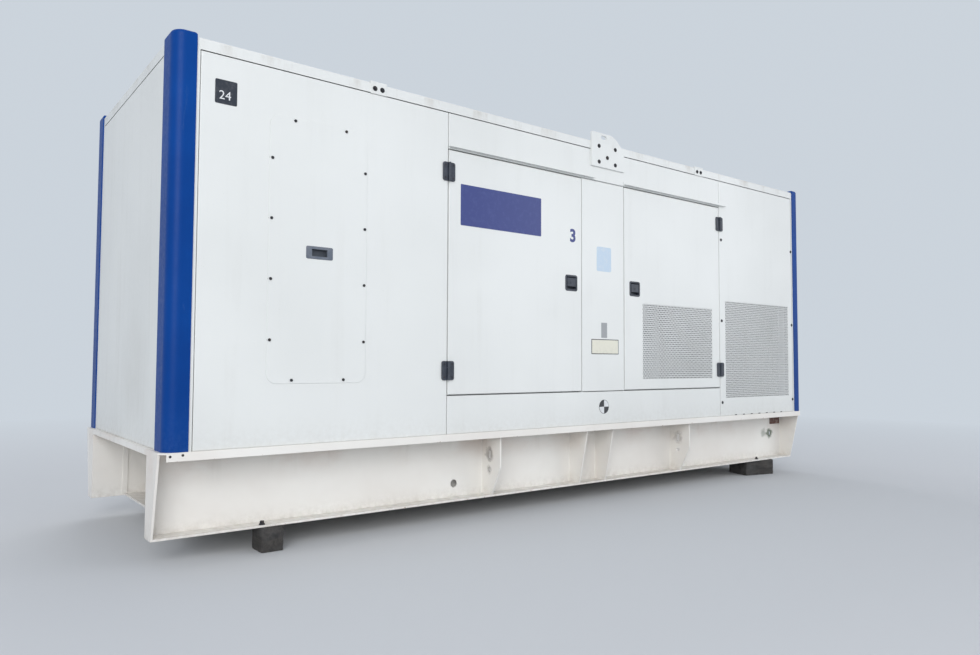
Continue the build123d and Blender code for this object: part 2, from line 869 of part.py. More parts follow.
# Lifting lugs: a thick plate, square at its left and falling away at its right, with a shackle eye
lug_low = canopy_top - lug_drop
lug_top = canopy_top + lug_rise
shoulder_left = lug_right - lug_shoulder_run
shoulder_low = lug_top - lug_shoulder_drop
shoulder_middle = (
    shoulder_left + lug_shoulder_bend[0] * lug_shoulder_run,
    lug_top - lug_shoulder_bend[1] * lug_shoulder_drop,
)

with BuildPart() as lifting_lugs:
    with BuildSketch(side_plane) as lug_outline:
        with BuildLine():
            ThreePointArc((shoulder_left, lug_top), shoulder_middle, (lug_right, shoulder_low))
            Polyline(
                (lug_right, shoulder_low),
                (lug_right, lug_low),
                (lug_left, lug_low),
                (lug_left, lug_top),
                (shoulder_left, lug_top),
            )
        make_face()
        fillet(lug_outline.vertices().group_by(Axis.Y)[-1].sort_by(Axis.X)[0], lug_corner)
        with Locations((lug_eye_x, lug_top - lug_eye_drop)):
            SlotOverall(*lug_eye, mode=Mode.SUBTRACT)
    extrude(amount=lug_thickness)
    mirror(about=Plane.XZ)

# Angle brackets over the roof's edge
bracket_top = canopy_top + bracket_thickness
bracket_face = -face_y - bracket_thickness

with BuildPart() as roof_brackets:
    for x in bracket_x:
        with BuildSketch(Plane.YZ.offset(x - bracket_width / 2)):
            sides(bracket_face, -face_y, roof_low - seam, bracket_top)
            sides(bracket_face, -face_y + bracket_flange, canopy_top, bracket_top)
        extrude(amount=bracket_width)
    mirror(about=Plane.XZ)

# Bearers: channels on the deck, open towards the middle, that carry the engine and the alternator
shroud_right = radiator_x + radiator_depth + shroud_length
bearer_left = shroud_right + seam

with BuildPart() as set_bearers:
    with BuildSketch(Plane.YZ.offset(bearer_left)):
        sides(bearer_outer, bearer_outer + bearer_wall, deck_top, bearer_top)
        sides(bearer_outer, bearer_inner, deck_top, deck_top + bearer_wall)
        sides(bearer_outer, bearer_inner, bearer_top - bearer_wall, bearer_top)
    extrude(amount=bearer_right - bearer_left)
    mirror(about=Plane.XZ)


def round_section(x, length, radius, height=crank_z, y=0):
    # Round body lying along X.
    with BuildPart() as drum:
        with BuildSketch(Plane.YZ.offset(x)):
            with Locations((y, height)):
                Circle(radius)
        extrude(amount=length)
    return drum.part


def mounting_foot(x, inner_y, height):
    # Bracket from the side of a machine down to the bearer, with a sloping web.
    with BuildPart() as foot:
        with BuildSketch(Plane.YZ.offset(x - foot_length / 2)):
            with BuildLine():
                Polyline(
                    (-inner_y, height),
                    (-inner_y, bearer_top + foot_thickness),
                    (-inner_y, bearer_top),
                    (bearer_outer, bearer_top),
                    (bearer_outer, bearer_top + foot_thickness),
                    close=True,
                )
            make_face()
        extrude(amount=foot_length)
        mirror(about=Plane.XZ)
    return foot.part


# Engine: sump, crankcase with side covers and flywheel housing, on four feet
engine_length = engine_right - engine_left
engine_middle = (engine_left + engine_right) / 2
block_low = crank_z - engine_drop
block_high = crank_z + engine_rise
sump_low = block_low - sump_depth
sump_half_width = engine_half_width - sump_inset
sump_foot_length = engine_length - 4 * sump_inset
side_cover_pitch = engine_length / (rocker_covers + 1)

with BuildPart() as engine_block:
    with BuildSketch(Plane.XY.offset(block_low)):
        with Locations((engine_middle, 0)):
            Rectangle(engine_length, 2 * engine_half_width)
    extrude(amount=block_high - block_low)
    fillet(engine_block.edges().filter_by(Axis.X), engine_corner)
    with BuildSketch(Plane.XY.offset(block_low)):
        with Locations((engine_middle, 0)):
            RectangleRounded(engine_length - sump_inset, 2 * sump_half_width, engine_corner)
    with BuildSketch(Plane.XY.offset(sump_low)):
        with Locations((engine_middle + sump_inset, 0)):
            RectangleRounded(sump_foot_length, 2 * (sump_half_width - sump_inset), engine_corner)
    loft()
    with BuildSketch(Plane.XZ.offset(engine_half_width)):
        with Locations((engine_middle, (block_low + block_high) / 2 + sump_inset)):
            with GridLocations(side_cover_pitch, 0, rocker_covers, 1):
                RectangleRounded(side_cover_pitch - cover_gap, engine_half_width / 2, engine_corner)
    extrude(amount=side_cover_thickness)
    add(round_section(engine_right, flywheel_length, flywheel_radius))
    for x in (engine_left + foot_length, engine_right - foot_length):
        add(mounting_foot(x, engine_half_width - engine_corner, crank_z))

# Cylinder head with its rocker covers and the inlet manifold along its side
head_left = engine_left + head_setback
head_right = engine_right - sump_inset
head_middle = (head_left + head_right) / 2
cover_pitch = (head_right - head_left) / rocker_covers

with BuildPart() as engine_head:
    with BuildSketch(Plane.XY.offset(block_high)):
        with Locations((head_middle, 0)):
            Rectangle(head_right - head_left, 2 * head_half_width)
    extrude(amount=head_height)
    with BuildSketch(Plane.XY.offset(block_high + head_height)):
        with Locations((head_middle, 0)):
            with GridLocations(cover_pitch, 0, rocker_covers, 1):
                RectangleRounded(cover_pitch - cover_gap, 2 * (head_half_width - cover_gap), engine_corner)
    extrude(amount=cover_height, taper=cover_draft)
    with BuildSketch(Plane.XZ.offset(head_half_width)):
        with Locations((head_left + manifold_length / 2, block_high + head_height / 2)):
            RectangleRounded(manifold_length, manifold_height, engine_corner)
    extrude(amount=manifold_width)

# Oil filters under their head on the crankcase's side
filter_y = engine_half_width + filter_radius + side_cover_thickness
filter_head_left = filter_x[0] - filter_radius
filter_head_right = filter_x[1] + filter_radius

with BuildPart() as oil_filters:
    with BuildSketch(Plane.XY.offset(filter_z)):
        sides(filter_head_left, filter_head_right, -filter_y - filter_radius / 2, -engine_half_width)
    extrude(amount=filter_head_height)
    with BuildSketch(Plane.XY.offset(filter_z)):
        with Locations(*[(x, -filter_y) for x in filter_x]):
            Circle(filter_radius)
    extrude(amount=-filter_length)
    fillet(oil_filters.faces().sort_by(Axis.Z)[:2].edges(), filter_radius / 3)

# Starter motor against the flywheel housing, with its solenoid
with BuildPart() as starter_motor:
    starter_z = crank_z + starter_rise
    starter_left = engine_right - starter_length
    add(round_section(starter_left, starter_length, starter_radius, starter_z, -starter_y))
    fillet(starter_motor.edges().filter_by(GeomType.CIRCLE).sort_by(Axis.X)[0], starter_radius / 4)
    solenoid_z = starter_z + starter_radius + solenoid_radius / 2
    solenoid_left = engine_right - starter_length / 2
    add(round_section(solenoid_left, starter_length / 2, solenoid_radius, solenoid_z, -starter_y))

# Alternator: a ribbed drum on two pairs of feet, with its terminal box on top
alternator_left = engine_right + flywheel_length
terminal_low = crank_z + alternator_radius - sump_inset

with BuildPart() as alternator:
    add(round_section(alternator_left, alternator_length, alternator_radius))
    with BuildSketch(Plane.YZ.offset(alternator_left + rib_height)):
        with Locations((0, crank_z)):
            with PolarLocations(alternator_radius, alternator_ribs):
                Rectangle(2 * rib_height, rib_thickness)
    extrude(amount=alternator_length - 4 * rib_height)
    with BuildSketch(Plane.XY.offset(terminal_low)):
        with Locations((alternator_left + alternator_length / 2, 0)):
            Rectangle(terminal_length, terminal_width)
    extrude(amount=sump_inset + terminal_height)
    for x in (alternator_left + foot_length, alternator_left + alternator_length - foot_length):
        add(mounting_foot(x, alternator_foot_y, crank_z - alternator_foot_drop))

# Radiator: a core between two tanks, with the shroud that leads to the fan
radiator_middle = (radiator_x + radiator_depth / 2, 0)
fan_z = crank_z + radiator_tank
shroud_low = radiator_x + radiator_depth
shroud_half_width = radiator_half_width - radiator_tank / 2
shroud_half_height = fan_radius + radiator_tank / 2

with BuildPart() as radiator:
    with BuildSketch(Plane.XY.offset(deck_top)):
        with Locations(radiator_middle):
            Rectangle(radiator_depth, 2 * radiator_half_width)
    extrude(amount=radiator_height)
    for low in (deck_top, deck_top + radiator_height - radiator_tank):
        with BuildSketch(Plane.XY.offset(low)):
            with Locations(radiator_middle):
                Rectangle(radiator_depth + 2 * tank_lap, 2 * radiator_half_width)
        extrude(amount=radiator_tank)
    with BuildSketch(Plane.YZ.offset(shroud_low)):
        with Locations((0, fan_z)):
            RectangleRounded(2 * shroud_half_width, 2 * shroud_half_height, engine_corner)
    with BuildSketch(Plane.YZ.offset(shroud_right)):
        with Locations((0, fan_z)):
            Circle(fan_radius + fan_tip_gap + sheet)
    loft()
    add(round_section(shroud_low, shroud_length, fan_radius + fan_tip_gap, fan_z), mode=Mode.SUBTRACT)

# Coolant pipe from the radiator's top tank over the fan to the cylinder head
with BuildPart() as coolant_pipe:
    with BuildLine() as coolant_path:
        FilletPolyline(
            (shroud_low + tank_lap, -coolant_y, deck_top + radiator_height - radiator_tank / 2),
            (head_left - coolant_setback, -coolant_y, deck_top + radiator_height - radiator_tank / 2),
            (head_left - coolant_setback, -coolant_y, block_high + head_height / 2),
            (head_left, -coolant_y, block_high + head_height / 2),
            radius=coolant_bend,
        )
    with BuildSketch(Plane.YZ.offset(shroud_low + tank_lap)):
        with Locations((-coolant_y, deck_top + radiator_height - radiator_tank / 2)):
            Circle(coolant_radius)
    sweep(path=coolant_path.line)

# Cooling fan: pitched blades on a hub that reaches back to the engine's front
fan_plane = Plane(origin=(shroud_right - fan_depth, 0, fan_z), z_dir=(1, 0, 0))

with BuildPart(fan_plane) as cooling_fan:
    with BuildSketch(fan_plane):
        Circle(hub_radius)
    extrude(amount=engine_left - shroud_right + fan_depth)
    with Locations((0, 0, fan_depth / 2)):
        with PolarLocations(fan_radius / 2, fan_blades):
            Box(fan_radius, blade_width, blade_thickness, rotation=(blade_pitch, 0, 0))

# Air cleaners beside the rocker covers, each held to the crankcase by two bracket plates
cleaner_z = block_high + head_height + cover_height + cleaner_radius
cleaner_low = cleaner_z - cleaner_radius
cleaner_saddle = cleaner_low + cleaner_radius / 2
cleaner_left = engine_right - cleaner_length

with BuildPart() as air_cleaners:
    add(round_section(cleaner_left, cleaner_length, cleaner_radius, cleaner_z, -cleaner_y))
    fillet(air_cleaners.edges().filter_by(GeomType.CIRCLE), engine_corner)
    for x in (cleaner_left + cleaner_bracket_inset, engine_right - cleaner_bracket_inset):
        with BuildSketch(Plane.YZ.offset(x)):
            sides(-cleaner_y, -head_half_width, cleaner_low - foot_thickness, cleaner_saddle)
            sides(-engine_half_width + engine_corner, -head_half_width, block_high, cleaner_low)
        extrude(amount=foot_thickness)
    mirror(about=Plane.XZ)

# Silencer across the cooling end on two stands, and the pipe that joins it to the engine
with BuildPart() as silencer:
    with BuildSketch(Plane.XZ.offset(-silencer_half_length)):
        with Locations((silencer_x, silencer_z)):
            Circle(silencer_radius)
    extrude(amount=2 * silencer_half_length)
    fillet(silencer.edges().filter_by(GeomType.CIRCLE), engine_corner)
    with BuildSketch(Plane.XY.offset(deck_top)):
        with Locations((silencer_x, 0)):
            with GridLocations(0, silencer_half_length, 1, 2):
                Rectangle(stand_length, stand_width)
    extrude(amount=silencer_z - deck_top)

with BuildPart() as exhaust_pipe:
    with BuildLine() as exhaust_path:
        FilletPolyline(
            (exhaust_x, 0, block_high),
            (exhaust_x, 0, silencer_z),
            (silencer_x + silencer_radius - seam, 0, silencer_z),
            radius=exhaust_bend,
        )
    with BuildSketch(Plane.XY.offset(block_high)):
        with Locations((exhaust_x, 0)):
            Circle(exhaust_radius)
    sweep(path=exhaust_path.line)
    with BuildSketch(Plane.YZ.offset(silencer_x)):
        with Locations((0, silencer_z)):
            Circle(exhaust_radius)
    extrude(amount=silencer_radius)
    add(silencer.part, mode=Mode.SUBTRACT)

pieces = {
    "skid_webs": skid_webs.part,
    "skid_flanges": skid_flanges.part,
    "skid_ledges": skid_ledges.part,
    "skid_gussets": skid_gussets.part,
    "skid_end_beams": skid_end_beams.part,
    "skid_deck": skid_deck.part,
    "skid_floor": skid_floor.part,
    "fuel_tank": fuel_tank.part,
    "packing_blocks": packing_blocks.part,
    "corner_posts": corner_posts.part,
    "corner_covers": corner_covers.part,
    "end_panels": end_panels.part,
    "left_panels": left_panels.part,
    "sills": sills.part,
    "pillars": pillars.part,
    "headers": headers.part,
    "right_panels": right_panels.part,
    "far_doors": far_doors.part,
    "far_door_grille": far_door_grille.part,
    "far_hinges": far_hinges.part,
    "far_latches": far_latches.part,
    "access_panels": access_panels.part,
    "access_pulls": access_pulls.part,
    "side_grilles": side_grilles.part,
    "drip_rails": drip_rails.part,
    "hinge_frame_leaves": hinge_frame_leaves.part,
    "wall_lining": wall_lining.part,
    "roof": roof.part,
    "roof_outlet": roof_outlet.part,
    "lifting_lugs": lifting_lugs.part,
    "roof_brackets": roof_brackets.part,
    "door_left": door_left.part,
    "door_left_lining": door_left_lining.part,
    "door_left_hinge_leaves": door_left_hinge_leaves,
    "door_left_latch": door_left_latch,
    "door_left_paddle": door_left_paddle,
    "door_right": door_right.part,
    "door_right_lining": door_right_lining.part,
    "door_right_grille": door_right_grille.part,
    "door_right_hinge_leaves": door_right_hinge_leaves,
    "door_right_latch": door_right_latch,
    "door_right_paddle": door_right_paddle,
    "set_bearers": set_bearers.part,
    "engine_block": engine_block.part,
    "engine_head": engine_head.part,
    "oil_filters": oil_filters.part,
    "starter_motor": starter_motor.part,
    "alternator": alternator.part,
    "radiator": radiator.part,
    "coolant_pipe": coolant_pipe.part,
    "cooling_fan": cooling_fan.part,
    "air_cleaners": air_cleaners.part,
    "silencer": silencer.part,
    "exhaust_pipe": exhaust_pipe.part,
}

for name, piece in pieces.items():
    piece.label = name
    export_step(piece, f"parts/{name}.step")
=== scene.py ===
# Looks of the enclosed generator set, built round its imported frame. Lengths are in metres.
import json
import math
import random

import bmesh
import bpy
from mathutils import Matrix, Vector


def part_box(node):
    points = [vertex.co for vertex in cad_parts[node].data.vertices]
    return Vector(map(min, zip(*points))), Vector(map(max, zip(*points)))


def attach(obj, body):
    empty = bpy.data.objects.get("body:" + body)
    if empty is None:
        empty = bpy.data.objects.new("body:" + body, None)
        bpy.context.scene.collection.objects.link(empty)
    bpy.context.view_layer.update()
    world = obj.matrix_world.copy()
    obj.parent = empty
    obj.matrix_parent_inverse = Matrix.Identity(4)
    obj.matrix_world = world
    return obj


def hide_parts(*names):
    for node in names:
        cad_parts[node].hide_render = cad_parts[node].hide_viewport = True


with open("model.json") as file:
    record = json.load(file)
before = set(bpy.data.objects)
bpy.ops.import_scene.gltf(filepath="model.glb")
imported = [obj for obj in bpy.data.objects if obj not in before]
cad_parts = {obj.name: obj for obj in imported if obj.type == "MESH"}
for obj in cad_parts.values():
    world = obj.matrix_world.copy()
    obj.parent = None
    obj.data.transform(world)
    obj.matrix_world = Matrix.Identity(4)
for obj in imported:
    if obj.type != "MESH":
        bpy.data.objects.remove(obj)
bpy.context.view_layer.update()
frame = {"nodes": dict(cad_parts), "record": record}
nodes = frame["nodes"]
scene = bpy.context.scene
print("frame loaded with", len(nodes), "nodes")


class NodeMaker:
    # Adds nodes to a tree: inputs are values or the sockets that feed them.
    def __init__(self, tree):
        self.tree = tree

    def put(self, socket, value):
        if isinstance(value, bpy.types.NodeSocket):
            self.tree.links.new(value, socket)
        else:
            socket.default_value = value

    def node(self, kind, inputs=None, **settings):
        made = self.tree.nodes.new(kind)
        for name, value in settings.items():
            setattr(made, name, value)
        for name, value in (inputs or {}).items():
            self.put(made.inputs[name], value)
        return made

    def result(self, kind, inputs=None, **settings):
        return self.node(kind, inputs, **settings).outputs[0]

    def math(self, operation, first, second=0.0):
        return self.result("ShaderNodeMath", {0: first, 1: second}, operation=operation)

    def plus(self, first, second):
        return self.math("ADD", first, second)

    def less(self, first, second):
        return self.math("SUBTRACT", first, second)

    def times(self, first, second):
        return self.math("MULTIPLY", first, second)


class Finish(NodeMaker):
    # A material on a Principled shader whose patterns follow the object's own coordinates.
    def __init__(self, name, roughness=0.5, metallic=0.0):
        self.material = bpy.data.materials.new(name)
        self.material.use_nodes = True
        super().__init__(self.material.node_tree)
        self.tree.nodes.clear()
        self.surface = self.node("ShaderNodeBsdfPrincipled", {"Roughness": roughness, "Metallic": metallic})
        self.output = self.node("ShaderNodeOutputMaterial", {"Surface": self.surface.outputs[0]})
        self.place = self.node("ShaderNodeTexCoord").outputs["Object"]
        self.normal = None

    def axes(self):
        return self.node("ShaderNodeSeparateXYZ", {"Vector": self.place}).outputs[:]

    def distance(self, point):
        made = self.node("ShaderNodeVectorMath", {0: self.place, 1: point}, operation="DISTANCE")
        return made.outputs["Value"]

    def between(self, value, low, high, first=0.0, last=1.0):
        return self.result("ShaderNodeMapRange", {"Value": value, "From Min": low, "From Max": high,
                                                  "To Min": first, "To Max": last})

    def noise(self, scale, detail=4.0, rough=0.5, stretch=None):
        where = self.place
        if stretch:
            where = self.result("ShaderNodeMapping", {"Vector": self.place, "Scale": stretch})
        return self.result("ShaderNodeTexNoise", {"Vector": where, "Scale": scale, "Detail": detail,
                                                  "Roughness": rough})

    def cells(self, scale, feature="F1"):
        made = self.node("ShaderNodeTexVoronoi", {"Vector": self.place, "Scale": scale}, feature=feature)
        return made.outputs["Distance"]

    def mix(self, share, first, second):
        made = self.node("ShaderNodeMix", {0: share, 6: first, 7: second}, data_type="RGBA")
        return made.outputs[2]

    def over(self, colour, mask, strength, shade):
        # The colour with a shade laid over it where the mask is, up to a strength.
        return self.mix(self.times(mask, strength), colour, shade)

    def bump(self, height, strength, distance):
        inputs = {"Height": height, "Strength": strength, "Distance": distance}
        if self.normal:
            inputs["Normal"] = self.normal
        self.normal = self.result("ShaderNodeBump", inputs)

    def done(self, colour, roughness=None):
        self.put(self.surface.inputs["Base Color"], colour)
        if roughness is not None:
            self.put(self.surface.inputs["Roughness"], roughness)
        if self.normal:
            self.put(self.surface.inputs["Normal"], self.normal)
        return self.material


def tone(red, green, blue):
    return (red, green, blue, 1.0)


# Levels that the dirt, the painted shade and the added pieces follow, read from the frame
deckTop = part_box("skid_ledges")[1].z
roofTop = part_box("roof")[1].z
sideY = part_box("left_panels")[1].y
webLow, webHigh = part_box("skid_webs")
skidLow = webLow.z

sheetLook = {
    "white": tone(0.76, 0.77, 0.75),
    "faded": tone(0.70, 0.71, 0.69),
    "soil": tone(0.36, 0.32, 0.25),
    "runs": tone(0.50, 0.49, 0.45),
    "edgeMarks": tone(0.33, 0.27, 0.20),
    "soilHeight": 0.18,
    "edgeBand": (0.075, 0.015),
    "roofSkin": (0.012, 0.002),
    "smudge": (-2.53, -0.25, 0.85),
}


def makeSheetPaint(name, white, faded, wear=1.0):
    # Off-white paint on sheet: fading in patches, faint rain runs, splashes low down, marks along the roof's
    # edge, a smudge low on the left end, specks, and a duller skin on top of the roof.
    paint = Finish(name)
    height = paint.axes()[2]
    patches = paint.noise(0.8, 3.0)
    grain = paint.noise(38.0, 6.0, 0.62)
    smudges = paint.noise(5.0, 5.0, 0.6)
    runs = paint.noise(11.0, 5.0, 0.6, (1.0, 1.0, 0.05))
    colour = paint.mix(paint.between(patches, 0.35, 0.65), white, faded)
    runMask = paint.times(paint.between(runs, 0.52, 0.78), paint.between(smudges, 0.35, 0.7))
    colour = paint.over(colour, runMask, 0.22 * wear, sheetLook["runs"])
    low = paint.between(height, deckTop, deckTop + sheetLook["soilHeight"], 1.0, 0.0)
    splash = paint.times(paint.math("POWER", low, 2.0), paint.between(grain, 0.35, 0.75))
    colour = paint.over(colour, splash, 0.18 * wear, sheetLook["soil"])
    band = [roofTop - drop for drop in sheetLook["edgeBand"]]
    skin = [roofTop - drop for drop in sheetLook["roofSkin"]]
    edge = paint.times(paint.between(height, *band), paint.between(height, *skin, 1.0, 0.3))
    marks = paint.times(edge, paint.between(paint.noise(7.0, 6.0, 0.66, (1.0, 1.0, 0.3)), 0.52, 0.68))
    colour = paint.over(colour, marks, 0.38 * wear, sheetLook["edgeMarks"])
    smudge = paint.times(paint.between(paint.distance(sheetLook["smudge"]), 0.05, 0.34, 1.0, 0.0), smudges)
    colour = paint.over(colour, smudge, 0.55, sheetLook["runs"])
    clusters = paint.between(paint.noise(9.0, 2.0), 0.56, 0.7)
    specks = paint.times(paint.between(paint.cells(70.0), 0.09, 0.05), clusters)
    colour = paint.over(colour, specks, 0.5 * wear, sheetLook["soil"])
    dirt = paint.plus(runMask, splash)
    shine = paint.plus(paint.between(grain, 0.3, 0.7, 0.33, 0.43), paint.times(dirt, 0.22))
    shine = paint.plus(shine, paint.between(height, *skin, 0.0, 0.26))
    paint.bump(paint.noise(1.3, 2.0), 0.35, 0.012)
    paint.bump(paint.noise(420.0, 2.0), 0.05, 0.001)
    return paint.done(colour, shine)


frameLook = {
    "white": tone(0.83, 0.81, 0.765),
    "faded": tone(0.765, 0.73, 0.68),
    "rust": tone(0.20, 0.085, 0.040),
    "darkRust": tone(0.060, 0.030, 0.020),
    "mud": tone(0.33, 0.285, 0.225),
    "blush": tone(0.60, 0.45, 0.37),
    "moss": tone(0.085, 0.125, 0.075),
    # Colour of the painted shade in the rings round the gusset holes
    "grimeAndPaintedShade": tone(0.115, 0.100, 0.085),
    "fray": 0.35,
    "lipDrop": 0.038,
    "holeInset": 0.173,
    "holeDrop": 0.194,
    "gussetY": -0.690,
}
rightHole = Vector((webHigh.x - frameLook["holeInset"], webLow.y, deckTop - frameLook["holeDrop"]))
# Moss on the near rail and painted shade round its gusset holes: centre, reach at full strength, reach where it
# ends, strength and colour
frameStainsAndHoleShade = [
    (rightHole, 0.028, 0.052, 0.85, "moss"),
    (rightHole + Vector((-0.085, 0.0, 0.006)), 0.014, 0.052, 0.5, "moss"),
    # Painted shade: dark rings round the gusset holes, standing in for the shade on their inner walls
    (Vector((-0.676, frameLook["gussetY"], deckTop - 0.145)), 0.022, 0.046, 0.60, "grimeAndPaintedShade"),
    (Vector((-0.676, frameLook["gussetY"], deckTop - 0.238)), 0.012, 0.030, 0.50, "grimeAndPaintedShade"),
    (Vector((1.077, frameLook["gussetY"], deckTop - 0.150)), 0.020, 0.048, 0.42, "grimeAndPaintedShade"),
]


def makeFramePaint():
    # Base frame: off-white with pinkish smears and runs under the ledge, thin dirt on the flange, rust spots,
    # most of them on the edges, moss round a hole of the near rail, and painted shade round its gusset holes.
    paint = Finish("framePaint")
    across, height = paint.axes()[1:]
    grain = paint.noise(26.0, 7.0, 0.65)
    patches = paint.noise(1.6, 4.0, 0.6)
    colour = paint.mix(paint.between(patches, 0.35, 0.68), frameLook["white"], frameLook["faded"])
    under = paint.times(paint.between(height, deckTop - 0.19, deckTop - 0.05),
                       paint.between(paint.math("ABSOLUTE", across), 0.76, 0.70))
    smears = paint.times(under, paint.between(paint.noise(2.6, 6.0, 0.62, (1.0, 1.0, 1.6)), 0.46, 0.66))
    colour = paint.over(colour, smears, 0.42, frameLook["blush"])
    runs = paint.times(under, paint.between(paint.noise(12.0, 6.0, 0.65, (1.0, 1.0, 0.06)), 0.55, 0.75))
    colour = paint.over(colour, runs, 0.22, frameLook["mud"])
    low = paint.math("POWER", paint.between(height, skidLow, skidLow + 0.10, 1.0, 0.0), 1.8)
    mud = paint.times(low, paint.between(grain, 0.38, 0.68))
    colour = paint.over(colour, mud, 0.42, frameLook["mud"])
    edges = [paint.between(paint.math("ABSOLUTE", paint.less(height, level)), 0.0, reach, 1.0, 0.0)
             for level, reach in ((deckTop - frameLook["lipDrop"], 0.010), (skidLow, 0.012))]
    edges = paint.math("MAXIMUM", *edges)
    chips = paint.plus(paint.noise(21.0, 8.0, 0.72), paint.times(edges, 0.085))
    rustMask = paint.between(chips, 0.695, 0.72)
    halo = paint.between(chips, 0.655, 0.71)
    colour = paint.over(colour, halo, 0.28, frameLook["blush"])
    rust = paint.mix(paint.between(grain, 0.4, 0.6), frameLook["rust"], frameLook["darkRust"])
    colour = paint.over(colour, rustMask, 0.85, rust)
    # Moss stains, and the rings of painted shade round the gusset holes
    for centre, inner, outer, strength, shade in frameStainsAndHoleShade:
        fray = frameLook["fray"] * outer
        ragged = paint.plus(paint.distance(centre), paint.between(grain, 0.3, 0.7, fray, -fray))
        colour = paint.mix(paint.between(ragged, inner, outer, strength, 0.0), colour, frameLook[shade])
    rough = paint.plus(paint.between(grain, 0.3, 0.7, 0.42, 0.54), paint.times(rustMask, 0.35))
    paint.bump(paint.noise(120.0, 3.0, 0.6), 0.12, 0.0015)
    paint.bump(rustMask, 0.3, 0.0010)
    return paint.done(colour, rough)


coverLook = {
    "blue": tone(0.0003, 0.040, 0.215),
    "paler": tone(0.0006, 0.055, 0.275),
    "scuff": tone(0.06, 0.13, 0.33),
    "gloss": 0.12,
}


def makeCoverPaint():
    # Blue corner covers: satin, chalky in places, with fine vertical scuffs.
    paint = Finish("bluePaint")
    height = paint.axes()[2]
    grain = paint.noise(60.0, 6.0, 0.65)
    chalk = paint.noise(2.2, 5.0, 0.6)
    scuffs = paint.between(paint.noise(24.0, 7.0, 0.7, (1.0, 1.0, 0.16)), 0.64, 0.70)
    colour = paint.mix(paint.between(chalk, 0.3, 0.75), coverLook["blue"], coverLook["paler"])
    colour = paint.over(colour, scuffs, 0.22, coverLook["scuff"])
    low = paint.math("POWER", paint.between(height, deckTop, deckTop + 0.3, 1.0, 0.0), 2.0)
    dust = paint.times(low, paint.between(grain, 0.38, 0.7))
    colour = paint.over(colour, dust, 0.22, coverLook["scuff"])
    paint.surface.inputs["Specular IOR Level"].default_value = coverLook["gloss"]
    paint.bump(paint.noise(2.0, 2.0), 0.25, 0.006)
    paint.bump(grain, 0.06, 0.001)
    return paint.done(colour, paint.between(grain, 0.3, 0.7, 0.34, 0.5))


def makeMoulded(name, dark, dusty, roughness, paintedPocketShade=0.0):
    # Moulded fittings: fine texture, a bloom of dust, a few rubbed spots, and painted shade that may darken
    # the pocket behind the panel's face.
    plastic = Finish(name)
    texture = plastic.noise(900.0, 2.0, 0.7)
    bloom = plastic.noise(18.0, 6.0, 0.65)
    colour = plastic.mix(plastic.between(bloom, 0.42, 0.72), dark, dusty)
    rubbed = plastic.between(plastic.noise(55.0, 5.0, 0.7), 0.66, 0.72)
    colour = plastic.over(colour, rubbed, 0.4, dusty)
    # Painted shade: faces lying deeper than the panel's face turn darker, up to the strength given
    across = plastic.math("ABSOLUTE", plastic.axes()[1])
    paintedPocketShadeMask = plastic.between(across, sideY + 0.004, sideY - 0.006, 0.0, paintedPocketShade)
    colour = plastic.mix(paintedPocketShadeMask, colour, tone(0.0, 0.0, 0.0))
    plastic.bump(texture, 0.25, 0.0004)
    return plastic.done(colour, plastic.between(bloom, 0.3, 0.7, roughness, roughness + 0.16))


foamLook = {"dark": tone(0.020, 0.020, 0.022), "pale": tone(0.058, 0.056, 0.055), "cell": 46.0}


def makeFoam():
    # Acoustic pads: open-cell foam pressed in a lattice of shallow pillows.
    foam = Finish("liningFoam", 0.95)
    pores = foam.cells(520.0)
    pillows = foam.cells(foamLook["cell"], "SMOOTH_F1")
    tint = foam.noise(6.0, 4.0)
    colour = foam.mix(foam.between(pores, 0.1, 0.6), foamLook["dark"], foamLook["pale"])
    colour = foam.over(colour, foam.between(tint, 0.45, 0.75), 0.5, foamLook["pale"])
    foam.bump(pillows, 0.8, 0.008)
    foam.bump(pores, 0.6, 0.0015)
    return foam.done(colour)


def makeMachinePaint(name, colour, greasy, roughness, metallic=0.0, rust=0.0):
    # Cast or fabricated machinery: sprayed paint with oily dust, pitting and optional rust.
    paint = Finish(name, roughness, metallic)
    casting = paint.noise(160.0, 4.0, 0.7)
    # Oily grime in patches; this finish has no painted shade
    grimeAndPaintedShade = paint.noise(7.0, 7.0, 0.68)
    shade = paint.mix(paint.between(grimeAndPaintedShade, 0.42, 0.7), colour, greasy)
    settled = paint.between(paint.noise(3.0, 3.0), 0.5, 0.75)
    shade = paint.over(shade, settled, 0.16, tone(0.32, 0.28, 0.22))
    if rust:
        spots = paint.between(paint.noise(13.0, 8.0, 0.74), 0.72 - 0.16 * rust, 0.80 - 0.16 * rust)
        shade = paint.mix(spots, shade, frameLook["rust"])
    paint.bump(casting, 0.22, 0.0016)
    rough = paint.between(grimeAndPaintedShade, 0.3, 0.7, roughness, roughness + 0.22)
    return paint.done(shade, rough)


timberLook = {
    "dark": tone(0.017, 0.016, 0.016),
    "pale": tone(0.064, 0.058, 0.052),
    "grey": tone(0.085, 0.086, 0.088),
}


def makeTimber(name, stretch):
    # Old sleeper timber: long grain, open checks and a grey weathered skin.
    wood = Finish(name, 0.85)
    grain = wood.noise(30.0, 8.0, 0.7, stretch)
    bands = wood.noise(6.0, 3.0, 0.5, stretch)
    skin = wood.noise(9.0, 5.0, 0.6)
    colour = wood.mix(wood.between(grain, 0.35, 0.66), timberLook["dark"], timberLook["pale"])
    colour = wood.over(colour, wood.between(skin, 0.42, 0.7), 0.5, timberLook["grey"])
    checks = wood.between(wood.noise(14.0, 6.0, 0.6, stretch), 0.36, 0.31)
    colour = wood.over(colour, checks, 0.85, timberLook["dark"])
    wood.bump(bands, 0.4, 0.004)
    wood.bump(grain, 0.5, 0.002)
    return wood.done(colour)


